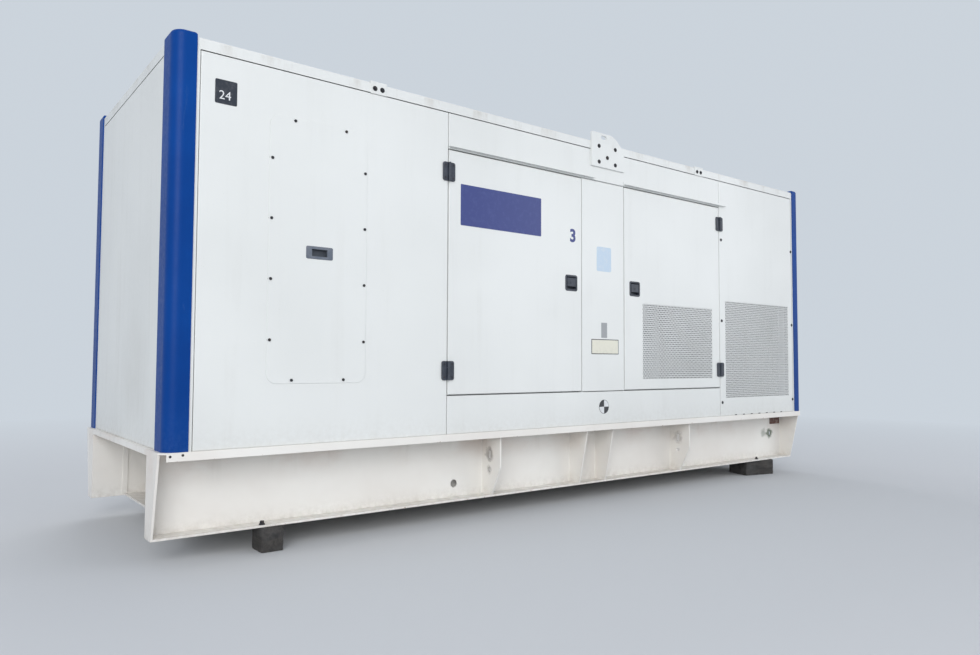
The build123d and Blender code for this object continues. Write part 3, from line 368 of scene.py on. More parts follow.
finishes = {
    "white_paint": makeSheetPaint("whitePaint", sheetLook["white"], sheetLook["faded"]),
    "grille_paint": makeSheetPaint("grillePaint", tone(0.70, 0.71, 0.70), tone(0.62, 0.63, 0.62), 1.3),
    "frame_paint": makeFramePaint(),
    "blue_paint": makeCoverPaint(),
    "black_plastic": makeMoulded("blackPlastic", tone(0.022, 0.028, 0.042), tone(0.060, 0.070, 0.090), 0.42),
    "grey_plastic": makeMoulded("greyPlastic", tone(0.110, 0.130, 0.165), tone(0.180, 0.195, 0.225), 0.5, 0.55),
    "lining": makeFoam(),
    "timber": makeTimber("timber", (0.06, 1.0, 1.0)),
    "engine_paint": makeMachinePaint("enginePaint", tone(0.10, 0.135, 0.16), tone(0.035, 0.038, 0.04), 0.4),
    "dark_steel": makeMachinePaint("darkSteel", tone(0.022, 0.023, 0.025), tone(0.05, 0.047, 0.042), 0.45),
    "plain_steel": makeMachinePaint("heatedSteel", tone(0.34, 0.31, 0.27), tone(0.14, 0.11, 0.085), 0.4,
                                    metallic=0.8, rust=0.6),
}

for row in frame["record"]["subparts"]:
    piece = nodes[row["node"]]
    piece.data.materials.clear()
    piece.data.materials.append(finishes[row["material_slot"]])
print("finishes made:", len(finishes))


# Small materials that the added pieces share
def makePlain(name, colour, roughness, metallic=0.0, wear=0.3, worn=None):
    # One colour with a fine grain, slight unevenness and worn patches.
    plain = Finish(name, roughness, metallic)
    patches = plain.noise(35.0, 6.0, 0.65)
    worn = worn or tone(*(0.6 * value + 0.12 for value in colour[:3]))
    shade = plain.over(colour, plain.between(patches, 0.5, 0.72), wear, worn)
    plain.bump(plain.noise(300.0, 3.0), 0.1, 0.0006)
    return plain.done(shade, plain.between(patches, 0.3, 0.7, roughness, roughness + 0.15))


boltFinish = makePlain("oxidisedBolts", tone(0.030, 0.031, 0.036), 0.42, 0.5, 0.6, tone(0.12, 0.075, 0.05))
rubberFinish = makePlain("sealRubber", tone(0.018, 0.018, 0.019), 0.72, 0.0, 0.5, tone(0.05, 0.048, 0.045))
rustFinish = makePlain("rustedScrap", tone(0.155, 0.085, 0.072), 0.8, 0.1, 0.9, tone(0.36, 0.29, 0.26))
# Near-black painted shade for the drain slots and keyholes, which have no real openings
paintedHoleShade = makePlain("darkSlots", tone(0.012, 0.012, 0.013), 0.7)


# Geometry Nodes trees for the parts that repeat
class Tree(NodeMaker):
    # A tree with named inputs that ends in Realize Instances and Set Material.
    def __init__(self, name, **inputs):
        super().__init__(bpy.data.node_groups.new(name, "GeometryNodeTree"))
        interface = self.tree.interface
        interface.new_socket("Geometry", in_out="INPUT", socket_type="NodeSocketGeometry")
        for title, kind in inputs.items():
            interface.new_socket(title, in_out="INPUT", socket_type="NodeSocket" + kind)
        interface.new_socket("Material", in_out="INPUT", socket_type="NodeSocketMaterial")
        interface.new_socket("Geometry", in_out="OUTPUT", socket_type="NodeSocketGeometry")
        self.given = self.node("NodeGroupInput").outputs

    def vector(self, x, y, z):
        return self.result("ShaderNodeCombineXYZ", {0: x, 1: y, 2: z})

    def join(self, *parts):
        joined = self.node("GeometryNodeJoinGeometry")
        for part in parts:
            self.tree.links.new(part, joined.inputs[0])
        return joined.outputs[0]

    def finish(self, geometry):
        solid = self.result("GeometryNodeRealizeInstances", {"Geometry": geometry})
        inputs = {"Geometry": solid, "Material": self.given["Material"]}
        self.node("NodeGroupOutput", {0: self.result("GeometryNodeSetMaterial", inputs)})
        return self.tree


def perforatedSheet():
    # Punched sheet in its own XY plane: a cell with a round hole in staggered rows, half cells that even out
    # every other row, and a plain rim round them.
    tree = Tree("perforatedSheet", Width="Float", Height="Float", Thickness="Float", Radius="Float",
                Pitch="Float", Side="Float", Top="Float", Bottom="Float")
    given = tree.given
    pitch, bottom, top = given["Pitch"], given["Bottom"], given["Top"]
    step = tree.times(pitch, math.sqrt(3) / 2)
    twoSteps = tree.times(step, 2.0)
    wide = tree.less(given["Width"], tree.times(given["Side"], 2.0))
    tall = tree.less(given["Height"], tree.plus(top, bottom))
    columns = tree.math("FLOOR", tree.math("DIVIDE", wide, pitch))
    pairs = tree.math("FLOOR", tree.math("DIVIDE", tree.less(tall, step), twoSteps))
    rows = tree.plus(tree.times(pairs, 2.0), 1.0)
    odd = tree.math("MODULO", tree.result("GeometryNodeInputIndex"), 2.0)

    def rectangle(width, height):
        return tree.result("GeometryNodeCurvePrimitiveQuadrilateral", {"Width": width, "Height": height})

    def outline(width, height, levelCuts, uprightCuts):
        cuts = tree.plus(levelCuts, tree.times(odd, tree.less(uprightCuts, levelCuts)))
        return tree.result("GeometryNodeSubdivideCurve", {"Curve": rectangle(width, height), "Cuts": cuts})

    def filled(*curves):
        return tree.result("GeometryNodeFillCurve", {"Curve": tree.join(*curves)}, mode="TRIANGLES")

    def grid(width, height, across, down):
        return tree.result("GeometryNodeMeshGrid", {"Size X": width, "Size Y": height, "Vertices X": across,
                                                    "Vertices Y": down})

    def repeated(shape, *sizes):
        return tree.result("GeometryNodeInstanceOnPoints", {"Points": grid(*sizes), "Instance": shape})

    def shifted(shape):
        return tree.result("GeometryNodeTransform", {"Geometry": shape, "Translation": shift})

    def merged(reach, *parts):
        return tree.result("GeometryNodeMergeByDistance", {"Geometry": tree.join(*parts), "Distance": reach})

    hole = tree.result("GeometryNodeCurvePrimitiveCircle", {"Resolution": 8, "Radius": given["Radius"]})
    cell = filled(outline(pitch, step, 1.0, 0.0), hole)
    half = grid(tree.times(pitch, 0.5), step, 2, 2)
    fewer = tree.less(columns, 1.0)
    short = tree.times(tree.less(pairs, 1.0), twoSteps)
    full = repeated(cell, tree.times(fewer, pitch), tree.times(pairs, twoSteps), columns, tree.plus(pairs, 1.0))
    between = repeated(cell, tree.times(tree.less(columns, 2.0), pitch), short, fewer, pairs)
    closing = repeated(half, tree.times(tree.less(columns, 0.5), pitch), short, 2, pairs)
    holed = tree.result("GeometryNodeRealizeInstances", {"Geometry": tree.join(full, between, closing)})
    shift = tree.vector(0.0, tree.times(tree.less(bottom, top), 0.5), 0.0)
    zone = outline(tree.times(columns, pitch), tree.times(rows, step),
                   tree.less(tree.times(columns, 2.0), 1.0), tree.less(rows, 1.0))
    rim = filled(rectangle(given["Width"], given["Height"]), shifted(zone))
    skin = merged(0.00005, shifted(holed), rim)
    front = tree.result("GeometryNodeExtrudeMesh", {"Mesh": skin, "Offset Scale": given["Thickness"],
                                                    "Individual": False}, mode="FACES")
    back = tree.result("GeometryNodeFlipFaces", {"Mesh": skin})
    return tree.finish(merged(0.00001, front, back))


def scatterHeads():
    # A washer and a chamfered head on each point, turned towards the point's aim with its own spin.
    tree = Tree("scatterHeads", Radius="Float", Height="Float", Sides="Int", Washer="Float", Seed="Int")
    given = tree.given

    def cone(sides, radius, taper, depth):
        return tree.result("GeometryNodeMeshCone", {"Vertices": sides, "Radius Bottom": radius, "Depth": depth,
                                                    "Radius Top": tree.times(radius, taper)})

    head = cone(given["Sides"], given["Radius"], 0.86, given["Height"])
    washer = cone(20, given["Washer"], 0.95, tree.times(given["Height"], 0.3))
    aim = tree.result("GeometryNodeInputNamedAttribute", {"Name": "aim"}, data_type="FLOAT_VECTOR")
    upright = tree.result("FunctionNodeAlignRotationToVector", {"Vector": aim}, axis="Z")
    spin = tree.node("FunctionNodeRandomValue", {"Max": math.tau, "Seed": given["Seed"]}, data_type="FLOAT")
    turn = tree.result("FunctionNodeEulerToRotation", {0: tree.vector(0.0, 0.0, spin.outputs[1])})
    turned = tree.result("FunctionNodeRotateRotation", {0: upright, 1: turn}, rotation_space="LOCAL")
    return tree.finish(tree.result("GeometryNodeInstanceOnPoints", {
        "Points": given["Geometry"], "Instance": tree.join(head, washer), "Rotation": turned}))


def tubeAlong():
    # A round bead along the edges it is given, unsettled by a little noise.
    tree = Tree("tubeAlong", Radius="Float", Step="Float", Ripple="Float", Sides="Int")
    given = tree.given
    path = tree.result("GeometryNodeMeshToCurve", {"Mesh": given["Geometry"]})
    path = tree.result("GeometryNodeResampleCurve", {"Curve": path, "Length": given["Step"]}, mode="LENGTH")
    noise = tree.node("ShaderNodeTexNoise", {"Scale": 90.0, "Detail": 2.0}).outputs[1]
    centred = tree.result("ShaderNodeVectorMath", {0: noise, 1: (0.5, 0.5, 0.5)}, operation="SUBTRACT")
    offset = tree.result("ShaderNodeVectorMath", {0: centred, "Scale": given["Ripple"]}, operation="SCALE")
    path = tree.result("GeometryNodeSetPosition", {"Geometry": path, "Offset": offset})
    sides, radius = given["Sides"], given["Radius"]
    ring = tree.result("GeometryNodeCurvePrimitiveCircle", {"Resolution": sides, "Radius": radius})
    tube = tree.result("GeometryNodeCurveToMesh", {"Curve": path, "Profile Curve": ring, "Fill Caps": True})
    return tree.finish(tree.result("GeometryNodeSetShadeSmooth", {"Geometry": tube}))


trees = {"sheet": perforatedSheet(), "heads": scatterHeads(), "tube": tubeAlong()}


def linked(name, data):
    made = bpy.data.objects.new(name, data)
    scene.collection.objects.link(made)
    return made


def meshFrom(name, work):
    mesh = bpy.data.meshes.new(name)
    work.to_mesh(mesh)
    work.free()
    return mesh


def added(name, mesh, body, material=None):
    # Puts a finished mesh in the scene at the origin and lets it ride its body.
    if material:
        mesh.materials.clear()
        mesh.materials.append(material)
    made = linked(name, mesh)
    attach(made, body)
    return made


def grown(name, kind, mesh, material, body, slotName=None, place=None, **values):
    # Runs a tree over a mesh and keeps the result as one plain mesh.
    host = linked(name + "Host", mesh)
    modifier = host.modifiers.new("grow", "NODES")
    modifier.node_group = trees[kind]
    values["Material"] = material
    for socket in trees[kind].interface.items_tree:
        if socket.in_out == "INPUT" and socket.name in values:
            modifier[socket.identifier] = values[socket.name]
    bpy.context.view_layer.update()
    seen = host.evaluated_get(bpy.context.evaluated_depsgraph_get())
    result = bpy.data.meshes.new_from_object(seen)
    result.name = name
    bpy.data.objects.remove(host)
    if place:
        result.transform(place)
    return added(name, result, body, material)


def pointMesh(name, spots):
    # Points with the direction that each faces.
    mesh = bpy.data.meshes.new(name)
    mesh.from_pydata([spot for spot, aim in spots], [], [])
    aims = mesh.attributes.new("aim", "FLOAT_VECTOR", "POINT")
    for index, (spot, aim) in enumerate(spots):
        aims.data[index].vector = aim
    return mesh


def pathMesh(name, paths):
    # Open paths, or closed ones where the last point repeats the first.
    mesh = bpy.data.meshes.new(name)
    corners, edges = [], []
    for path in paths:
        first = len(corners)
        closed = path[0] == path[-1]
        points = path[:-1] if closed else path
        corners.extend(points)
        edges.extend((first + i, first + i + 1) for i in range(len(points) - 1))
        if closed:
            edges.append((first + len(points) - 1, first))
    mesh.from_pydata(corners, edges, [])
    return mesh


def looseParts(node):
    # Points of each separate part of a CAD node. The parts run from left to right, near to far and down.
    work = bmesh.new()
    work.from_mesh(nodes[node].data)
    bmesh.ops.remove_doubles(work, verts=work.verts, dist=0.00002)
    left = set(work.verts)
    parts = []
    while left:
        part, front = [], [left.pop()]
        while front:
            vert = front.pop()
            part.append(vert.co.copy())
            for edge in vert.link_edges:
                other = edge.other_vert(vert)
                if other in left:
                    left.remove(other)
                    front.append(other)
        parts.append(part)
    work.free()
    return sorted(parts, key=lambda part: [round(value, 4) for value in limits(part)[0] * Vector((1, 1, -1))])


def limits(points):
    return tuple(Vector(pick(point[axis] for point in points) for axis in range(3)) for pick in (min, max))


def looseBoxes(node):
    # Lowest and highest corner of each separate part, in the same order.
    return [limits(part) for part in looseParts(node)]


# Faces of the enclosure: across, up and outwards, seen from outside
sides = {
    "near": Matrix(((1, 0, 0), (0, 0, -1), (0, 1, 0))).to_4x4(),
    "far": Matrix(((-1, 0, 0), (0, 0, 1), (0, 1, 0))).to_4x4(),
}
outward = {"near": Vector((0, -1, 0)), "far": Vector((0, 1, 0))}


def onSide(side, x, z, y=sideY):
    # Point of one long side, on the panels' outer face or another distance from the middle.
    return Vector((x, outward[side].y * y, z))


def facing(side, x, z, y=sideY):
    # Matrix that stands a flat shape, drawn in XY, on that point of a side.
    return Matrix.Translation(onSide(side, x, z, y)) @ sides[side]


def sideOf(box):
    return "near" if box[0].y < 0 else "far"


# Perforated sheets behind the grille openings
sheetHoles = {"Radius": 0.0055, "Pitch": 0.016, "Side": 0.006, "Top": 0.006, "Bottom": 0.004}
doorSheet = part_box("door_right_grille")
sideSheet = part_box("side_grilles")
sheetDepth = doorSheet[1].y - doorSheet[0].y


def makeSheet(name, box, side, body, replaced):
    low, high = box
    middle = (low + high) / 2
    place = facing(side, middle.x, middle.z, abs(doorSheet[1].y))
    base = bpy.data.meshes.new(name + "Base")
    made = grown(name, "sheet", base, finishes["grille_paint"], body, "grille_paint", place,
                 Width=high.x - low.x, Height=high.z - low.z, Thickness=sheetDepth, **sheetHoles)
    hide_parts(replaced)


makeSheet("doorGrilleSheet", doorSheet, "near", "door_right", "door_right_grille")
makeSheet("farDoorGrilleSheet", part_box("far_door_grille"), "far", "enclosure", "far_door_grille")
makeSheet("sideGrilleSheetNear", sideSheet, "near", "enclosure", "side_grilles")
makeSheet("sideGrilleSheetFar", sideSheet, "far", "enclosure", "side_grilles")
print("perforated sheets made")


# Packing blocks: rough-sawn timber with knocked corners, inside the solids
def tightestBox(points):
    # The turn about Z that brings the points square, and the box they then fill.
    best = None
    for step in range(180):
        turn = Matrix.Rotation(math.radians(step / 2 - 45), 4, "Z")
        low, high = limits([turn @ point for point in points])
        area = (high.x - low.x) * (high.y - low.y)
        if best is None or area < best[0] - 1e-7:
            best = (area, turn.inverted(), low, high)
    return best[1:]


blockLook = {"share": 0.985, "knocked": 0.007, "longEdge": 0.04, "cuts": 7, "sawn": 0.0009}


def makeTimbers(name, parts, material, seed):
    maker = random.Random(seed)
    work = bmesh.new()
    for part in parts:
        turn, low, high = tightestBox(part)
        size = high - low
        block = bmesh.new()
        bmesh.ops.create_cube(block, size=1.0)
        sunk = Vector((0, 0, (1 - blockLook["share"]) / 2 * size.z))
        bmesh.ops.scale(block, vec=size * blockLook["share"], verts=block.verts)
        bmesh.ops.translate(block, vec=(low + high) / 2 - sunk, verts=block.verts)
        bmesh.ops.bevel(block, geom=list(block.edges), offset=blockLook["knocked"], segments=2, affect="EDGES",
                        profile=0.6)
        longEdges = [edge for edge in block.edges if edge.calc_length() > blockLook["longEdge"]]
        bmesh.ops.subdivide_edges(block, edges=longEdges, cuts=blockLook["cuts"], use_grid_fill=True)
        for vert in block.verts:
            vert.co += Vector(maker.uniform(-blockLook["sawn"], blockLook["sawn"]) for axis in range(3))
            vert.co.z = max(vert.co.z, low.z)
        block.transform(turn)
        shaped = meshFrom(name + "Part", block)
        work.from_mesh(shaped)
        bpy.data.meshes.remove(shaped)
    made = added(name, meshFrom(name, work), "enclosure", material)
    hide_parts("packing_blocks")


# The far block of each pair takes its random draws first.
blocks = looseParts("packing_blocks")[::-1]
timberAcross = makeTimber("timberAcross", (1.0, 0.06, 1.0))
makeTimbers("leftTimbers", [part for part in blocks if part[0].x < 0], timberAcross, 3)
makeTimbers("rightTimbers", [part for part in blocks if part[0].x > 0], finishes["timber"], 5)


# Bolts and screws: insets, rises and drops from a piece's own edges, and places as x and height, or as x and y
# for the blocks. Heights are above the deck, but the lug's above the ground.
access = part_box("access_panels")
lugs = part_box("lifting_lugs")
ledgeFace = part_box("skid_ledges")[1].y
fixings = {
    "accessInset": 0.013,
    "accessRows": [0.205 + 0.2867 * row for row in range(4)],
    "accessColumns": (0.124, 0.394),
    "accessTop": 0.014,
    "accessFoot": 0.016,
    "bracketSpread": 0.0215,
    "bracketDrop": 0.037,
    "lug": ((0.106, 2.323), (0.260, 2.323), (0.106, 2.219), (0.260, 2.219), (0.184, 2.256)),
    "rightPanel": ((1.440, 2.413), (0.101, 0.717, 1.333)),
    "block": ((-2.054, 0.695), (2.072, 0.695)),
    "blockRise": 0.010,
    "ledge": ((-2.513, -0.016), (-2.461, -0.013)),
}
# Radius, height, sides, the washer's radius, and the seed of the heads' spin
headSizes = {
    "panelBolts": (0.0085, 0.007, 6, 0.0135, 4),
    "rightPanelBolts": (0.0075, 0.006, 6, 0.0115, 9),
    "blockNuts": (0.0115, 0.019, 4, 0.0145, 7),
    "ledgeScrews": (0.0048, 0.002, 12, 0.0058, 3),
    "hingeScrews": (0.0042, 0.0012, 14, 0.0052, 2),
    "engineBolts": (0.009, 0.008, 6, 0.013, 6),
}


def makeHeads(name, spots, sizes=None, body="enclosure"):
    values = dict(zip(("Radius", "Height", "Sides", "Washer", "Seed"), headSizes[sizes or name]))
    grown(name, "heads", pointMesh(name + "Points", spots), boltFinish, body, **values)


def accessSpots():
    # Twelve bolts round the access panel: four up each edge, two along the top and two along the bottom.
    low, high = access
    edges = (low.x + fixings["accessInset"], high.x - fixings["accessInset"])
    spots = [(x, low.z + rise) for rise in fixings["accessRows"] for x in edges]
    ends = (high.z - fixings["accessTop"], low.z + fixings["accessFoot"])
    return spots + [(low.x + inset, z) for inset in fixings["accessColumns"] for z in ends]


boltSpots, screwSpots, blockSpots, ledgeSpots = [], [], [], []
for side in ("near", "far"):
    aim = outward[side]
    boltSpots += [(onSide(side, x, z), aim) for x, z in accessSpots()]
    boltSpots += [(onSide(side, x, z, abs(lugs[0].y)), aim) for x, z in fixings["lug"]]
    columns, levels = fixings["rightPanel"]
    screwSpots += [(onSide(side, x, deckTop + level), aim) for x in columns for level in levels]
    nutLevel = skidLow + fixings["blockRise"]
    blockSpots += [(onSide(side, x, nutLevel, y), Vector((0, 0, 1))) for x, y in fixings["block"]]
    ledgeSpots += [(onSide(side, x, deckTop + z, ledgeFace), aim) for x, z in fixings["ledge"]]
for low, high in looseBoxes("roof_brackets"):
    side = sideOf((low, high))
    centre = (low.x + high.x) / 2
    for shift in (-fixings["bracketSpread"], fixings["bracketSpread"]):
        spot = onSide(side, centre + shift, high.z - fixings["bracketDrop"], max(abs(low.y), abs(high.y)))
        boltSpots.append((spot, outward[side]))
makeHeads("panelBolts", boltSpots)
makeHeads("rightPanelBolts", screwSpots)
makeHeads("blockNuts", blockSpots)
makeHeads("ledgeScrews", ledgeSpots)

hingeLook = {"knuckle": 0.05, "inset": 0.014, "heights": (0.16, 0.84), "proud": 0.009}


def hingeScrews(node, body, name):
    # Two countersunk screws near the free edge of each leaf. The knuckles are shorter parts, without screws.
    spots = []
    for low, high in looseBoxes(node):
        if high.z - low.z < hingeLook["knuckle"]:
            continue
        side = sideOf((low, high))
        freeLeft = low.x < 0 if node == "hinge_frame_leaves" else node == "door_right_hinge_leaves"
        x = low.x + hingeLook["inset"] if freeLeft else high.x - hingeLook["inset"]
        for share in hingeLook["heights"]:
            spot = onSide(side, x, low.z + share * (high.z - low.z), sideY + hingeLook["proud"])
            spots.append((spot, outward[side]))
    makeHeads(name, spots, "hingeScrews", body)


hingeScrews("hinge_frame_leaves", "enclosure", "frameHingeScrews")
hingeScrews("door_left_hinge_leaves", "door_left", "leftHingeScrews")
hingeScrews("door_right_hinge_leaves", "door_right", "rightHingeScrews")
print("bolts and screws made")


# Weld beads where the gussets meet the web of each rail
weldLook = {"Radius": 0.0035, "Step": 0.006, "Ripple": 0.0022, "Sides": 8, "short": 0.004}
weldPaths = []
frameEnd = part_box("skid_gussets")[1].x
for low, high in looseBoxes("skid_gussets"):
    side = sideOf((low, high))
    webFace = min(abs(low.y), abs(high.y))
    for x in (low.x, high.x):
        if abs(x) < frameEnd - 0.005:
            ends = (low.z + weldLook["short"], high.z - weldLook["short"])
            weldPaths.append([onSide(side, x, z, webFace) for z in ends])
grown("frameWelds", "tube", pathMesh("weldPaths", weldPaths), finishes["frame_paint"], "enclosure",
      "frame_paint", **weldLook)


# Rubber seals on the stops behind the two near doors
sealLook = {"Radius": 0.0026, "Step": 0.03, "Ripple": 0.0, "Sides": 10, "inset": 0.009, "behind": 0.006}
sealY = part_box("door_left")[1].y + sealLook["behind"] - sealLook["Radius"]
sealPaths = []
for node in ("door_left", "door_right"):
    low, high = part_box(node)
    left, right = low.x + sealLook["inset"], high.x - sealLook["inset"]
    foot, top = low.z + sealLook["inset"], high.z - sealLook["inset"]
    ring = [(left, foot), (right, foot), (right, top), (left, top), (left, foot)]
    sealPaths.append([(x, sealY, z) for x, z in ring])
grown("doorSeals", "tube", pathMesh("sealPaths", sealPaths), rubberFinish, "enclosure", **sealLook)
print("welds and seals made")


# Small flat pieces: drain slots at the foot of the right panel, bars inside the ends of the rails, a scrap of
# rusted plate, and keyholes. The slots and keyholes are near-black boxes of painted shade in place of openings.
def flatBoxes(name, boxes, body, material):
    work = bmesh.new()
    for low, high in boxes:
        low, high = limits([Vector(low), Vector(high)])
        cube = bmesh.ops.create_cube(work, size=1.0)["verts"]
        bmesh.ops.scale(work, vec=high - low, verts=cube)
        bmesh.ops.translate(work, vec=(low + high) / 2, verts=cube)
    added(name, meshFrom(name, work), body, material)


slotLook = {"places": [1.610 + 0.105 * number for number in range(7)], "width": 0.026, "foot": 0.0005,
            "top": 0.006, "sunk": 0.001, "proud": 0.0006}
slots = []
for side in ("near", "far"):
    for x in slotLook["places"]:
        low = onSide(side, x - slotLook["width"] / 2, deckTop + slotLook["foot"], sideY - slotLook["sunk"])
        high = onSide(side, x + slotLook["width"] / 2, deckTop + slotLook["top"], sideY + slotLook["proud"])
        slots.append((low, high))
flatBoxes("drainSlots", slots, "enclosure", paintedHoleShade)

webFace = abs(webLow.y)
barLook = {"outer": 2.395, "inner": 2.368, "web": webFace - 0.008, "depth": 0.006, "foot": 0.012, "drop": 0.009}
bars = [((end * barLook["inner"], rail * barLook["web"], skidLow + barLook["foot"]),
         (end * barLook["outer"], rail * (barLook["web"] - barLook["depth"]), deckTop - barLook["drop"]))
        for end in (-1, 1) for rail in (-1, 1)]
flatBoxes("endBars", bars, "enclosure", finishes["frame_paint"])

# The scrap's plate and the folded rim on top of it: left, right, depth, and how far below the deck they reach
scrapSizes = ((2.392, 2.535, 0.004, 0.118, 0.062), (2.386, 2.548, 0.009, 0.066, 0.058))
scraps = [((left, -webFace, deckTop - foot), (right, -webFace - depth, deckTop - top))
          for left, right, depth, foot, top in scrapSizes]
flatBoxes("rustedScrap", scraps, "enclosure", rustFinish)

# Keyholes: thin near-black boxes of painted shade on the paddles
keyLook = {"drop": 0.031, "half": Vector((0.0011, 0, 0.0045)), "proud": 0.0004}
for name in ("left", "right"):
    low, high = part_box("door_" + name + "_paddle")
    lock = Vector(((low.x + high.x) / 2, low.y, high.z - keyLook["drop"]))
    corners = (lock - keyLook["half"], lock + keyLook["half"] - Vector((0, keyLook["proud"], 0)))
    flatBoxes(name + "Keyhole", [corners], "paddle_" + name, paintedHoleShade)


# Inside, seen through open doors: the fan's wire guard, and bolts on the engine
guardLook = {"Radius": 0.0022, "Step": 0.05, "Ripple": 0.0, "Sides": 6, "gap": 0.012, "first": 0.135,
             "overFan": 0.03, "overRing": 0.02, "spokeGap": 0.004, "rings": 9, "corners": 56, "spokes": 8}
engineLook = {"covers": 3, "coverAlong": (-0.115, 0.0, 0.115), "coverAcross": (-0.105, 0.105),
              "crankRise": 0.470, "housing": 0.120, "circle": 0.318, "bolts": 18, "seen": 0.27}


def makeGuard():
    # Rings and spokes of wire between the fan and the engine.
    low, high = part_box("cooling_fan")
    first, rings = guardLook["first"], guardLook["rings"]
    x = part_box("radiator")[1].x + guardLook["Radius"] + guardLook["gap"]
    centre = (low.z + high.z) / 2
    reach = (high.z - low.z) / 2 + guardLook["overFan"]

    def spot(shift, radius, turn):
        return x + shift, radius * math.cos(turn), centre + radius * math.sin(turn)

    paths = []
    for ring in range(rings):
        radius = first + (reach - first) * ring / (rings - 1)
        path = [spot(0.0, radius, math.tau * i / guardLook["corners"]) for i in range(guardLook["corners"])]
        paths.append(path + path[:1])
    ends = (first, reach + guardLook["overRing"])
    for spoke in range(guardLook["spokes"]):
        turn = math.tau * (spoke + 0.5) / guardLook["spokes"]
        paths.append([spot(guardLook["spokeGap"], radius, turn) for radius in ends])
    grown("fanGuard", "tube", pathMesh("guardPaths", paths), finishes["dark_steel"], "enclosure", "dark_steel",
          **guardLook)


def makeEngineBolts():
    # Bolts on the rocker covers, and round the flywheel housing where the block leaves it in sight.
    headLow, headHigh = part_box("engine_head")
    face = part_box("engine_block")[1].x - engineLook["housing"]
    crank = deckTop + engineLook["crankRise"]
    pitch = (headHigh.x - headLow.x) / engineLook["covers"]
    spots = []
    for cover in range(engineLook["covers"]):
        middle = headLow.x + pitch * (cover + 0.5)
        spots += [(Vector((middle + along, across, headHigh.z)), Vector((0, 0, 1)))
                  for along in engineLook["coverAlong"] for across in engineLook["coverAcross"]]
    for number in range(engineLook["bolts"]):
        turn = math.tau * (number + 0.5) / engineLook["bolts"]
        y, z = engineLook["circle"] * math.cos(turn), engineLook["circle"] * math.sin(turn)
        if abs(y) > engineLook["seen"] and not (y < 0 and z > 0.0):
            spots.append((Vector((face, y, crank + z)), Vector((-1, 0, 0))))
    makeHeads("engineBolts", spots)


makeGuard()
makeEngineBolts()
print("small pieces made")


# Plates, labels and numbers, all plain
film = 0.0006
digitSize = 1.42


def roundedOutline(width, height, radius, steps=5):
    points = []
    for quarter, (sx, sy) in enumerate(((1, 1), (-1, 1), (-1, -1), (1, -1))):
        for step in range(steps + 1):
            angle = math.radians(90 * (quarter + step / steps))
            points.append((sx * (width / 2 - radius) + radius * math.cos(angle),
                           sy * (height / 2 - radius) + radius * math.sin(angle)))
    return points


def makePlate(name, outlines, depth, x, z, inks, body="enclosure"):
    # Flat plates on the near side, at a height above the deck. Each outline has its own level and material.
    work = bmesh.new()
    for index, (outline, level) in enumerate(outlines):
        low = [work.verts.new((px, py, level)) for px, py in outline]
        top = [work.verts.new((px, py, level + depth)) for px, py in outline]
        faces = [work.faces.new(top), work.faces.new(low[::-1])]
        for i in range(len(outline)):
            faces.append(work.faces.new((low[i - 1], low[i], top[i], top[i - 1])))
        for face in faces:
            face.material_index = index
    mesh = meshFrom(name, work)
    for ink in inks:
        mesh.materials.append(signLook[ink])
    mesh.transform(facing("near", x, deckTop + z))
    added(name, mesh, body)


def makeLabel(name, sizes, x, z, ink, body="enclosure", depth=film):
    # One plain plate: width, height and the radius of its corners.
    makePlate(name, [(roundedOutline(*sizes), 0.0)], depth, x, z, [ink], body)


def makeNumber(name, words, height, x, z, depth, level, ink, body="enclosure", weight=0.0):
    # Plain digits on the near side, at a level above its face, and bolder with more weight.
    text = bpy.data.curves.new(name, "FONT")
    text.body = words
    text.align_x = "CENTER"
    text.align_y = "CENTER"
    text.size = height * digitSize
    text.extrude = depth
    text.offset = weight * height
    holder = linked(name + "Host", text)
    bpy.context.view_layer.update()
    mesh = bpy.data.meshes.new_from_object(holder.evaluated_get(bpy.context.evaluated_depsgraph_get()))
    bpy.data.objects.remove(holder)
    mesh.transform(facing("near", x, deckTop + z, sideY + level))
    mesh.name = name
    added(name, mesh, body, signLook[ink])


signLook = {
    "navy": makePlain("navyVinyl", tone(0.030, 0.046, 0.20), 0.32, 0.0, 0.3, tone(0.10, 0.13, 0.30)),
    "dark": makePlain("darkPlate", tone(0.018, 0.024, 0.036), 0.5, 0.0, 0.4),
    "white": makePlain("whiteVinyl", tone(0.70, 0.71, 0.72), 0.35, 0.0, 0.3),
    "black": makePlain("blackVinyl", tone(0.018, 0.019, 0.024), 0.35, 0.0, 0.3),
    "cream": makePlain("creamLabel", tone(0.74, 0.72, 0.61), 0.42, 0.0, 0.5, tone(0.60, 0.58, 0.50)),
    "grey": makePlain("greyLabel", tone(0.33, 0.34, 0.35), 0.42, 0.0, 0.5),
    "pale": makePlain("paleSticker", tone(0.52, 0.63, 0.74), 0.4, 0.0, 0.6, tone(0.66, 0.70, 0.74)),
}
makeLabel("cornerPlate", (0.100, 0.111, 0.006), -2.306, 1.6150, "dark", depth=2 * film)
makeNumber("cornerPlateNumber", "24", 0.040, -2.311, 1.598, 0.0004, 0.0016, "white")
makeLabel("bluePlate", (0.603, 0.233, 0.004), -0.6905, 1.2785, "navy", "door_left")
makeNumber("doorNumber", "3", 0.078, -0.121, 1.192, 0.0003, 0.0003, "navy", "door_left", 0.05)
label = [(roundedOutline(0.253, 0.097, 0.003), 0.0), (roundedOutline(0.243, 0.087, 0.002), film),
         (roundedOutline(0.116, 0.070, 0.001), 2 * film)]
makePlate("creamLabelPlate", label, film, 0.170, 0.499, ["black", "cream", "cream"])
makeLabel("greyLabelPlate", (0.054, 0.098, 0.003), 0.161, 0.606, "grey")
makeLabel("paleStickerPlate", (0.135, 0.160, 0.012), 0.161, 1.070, "pale")


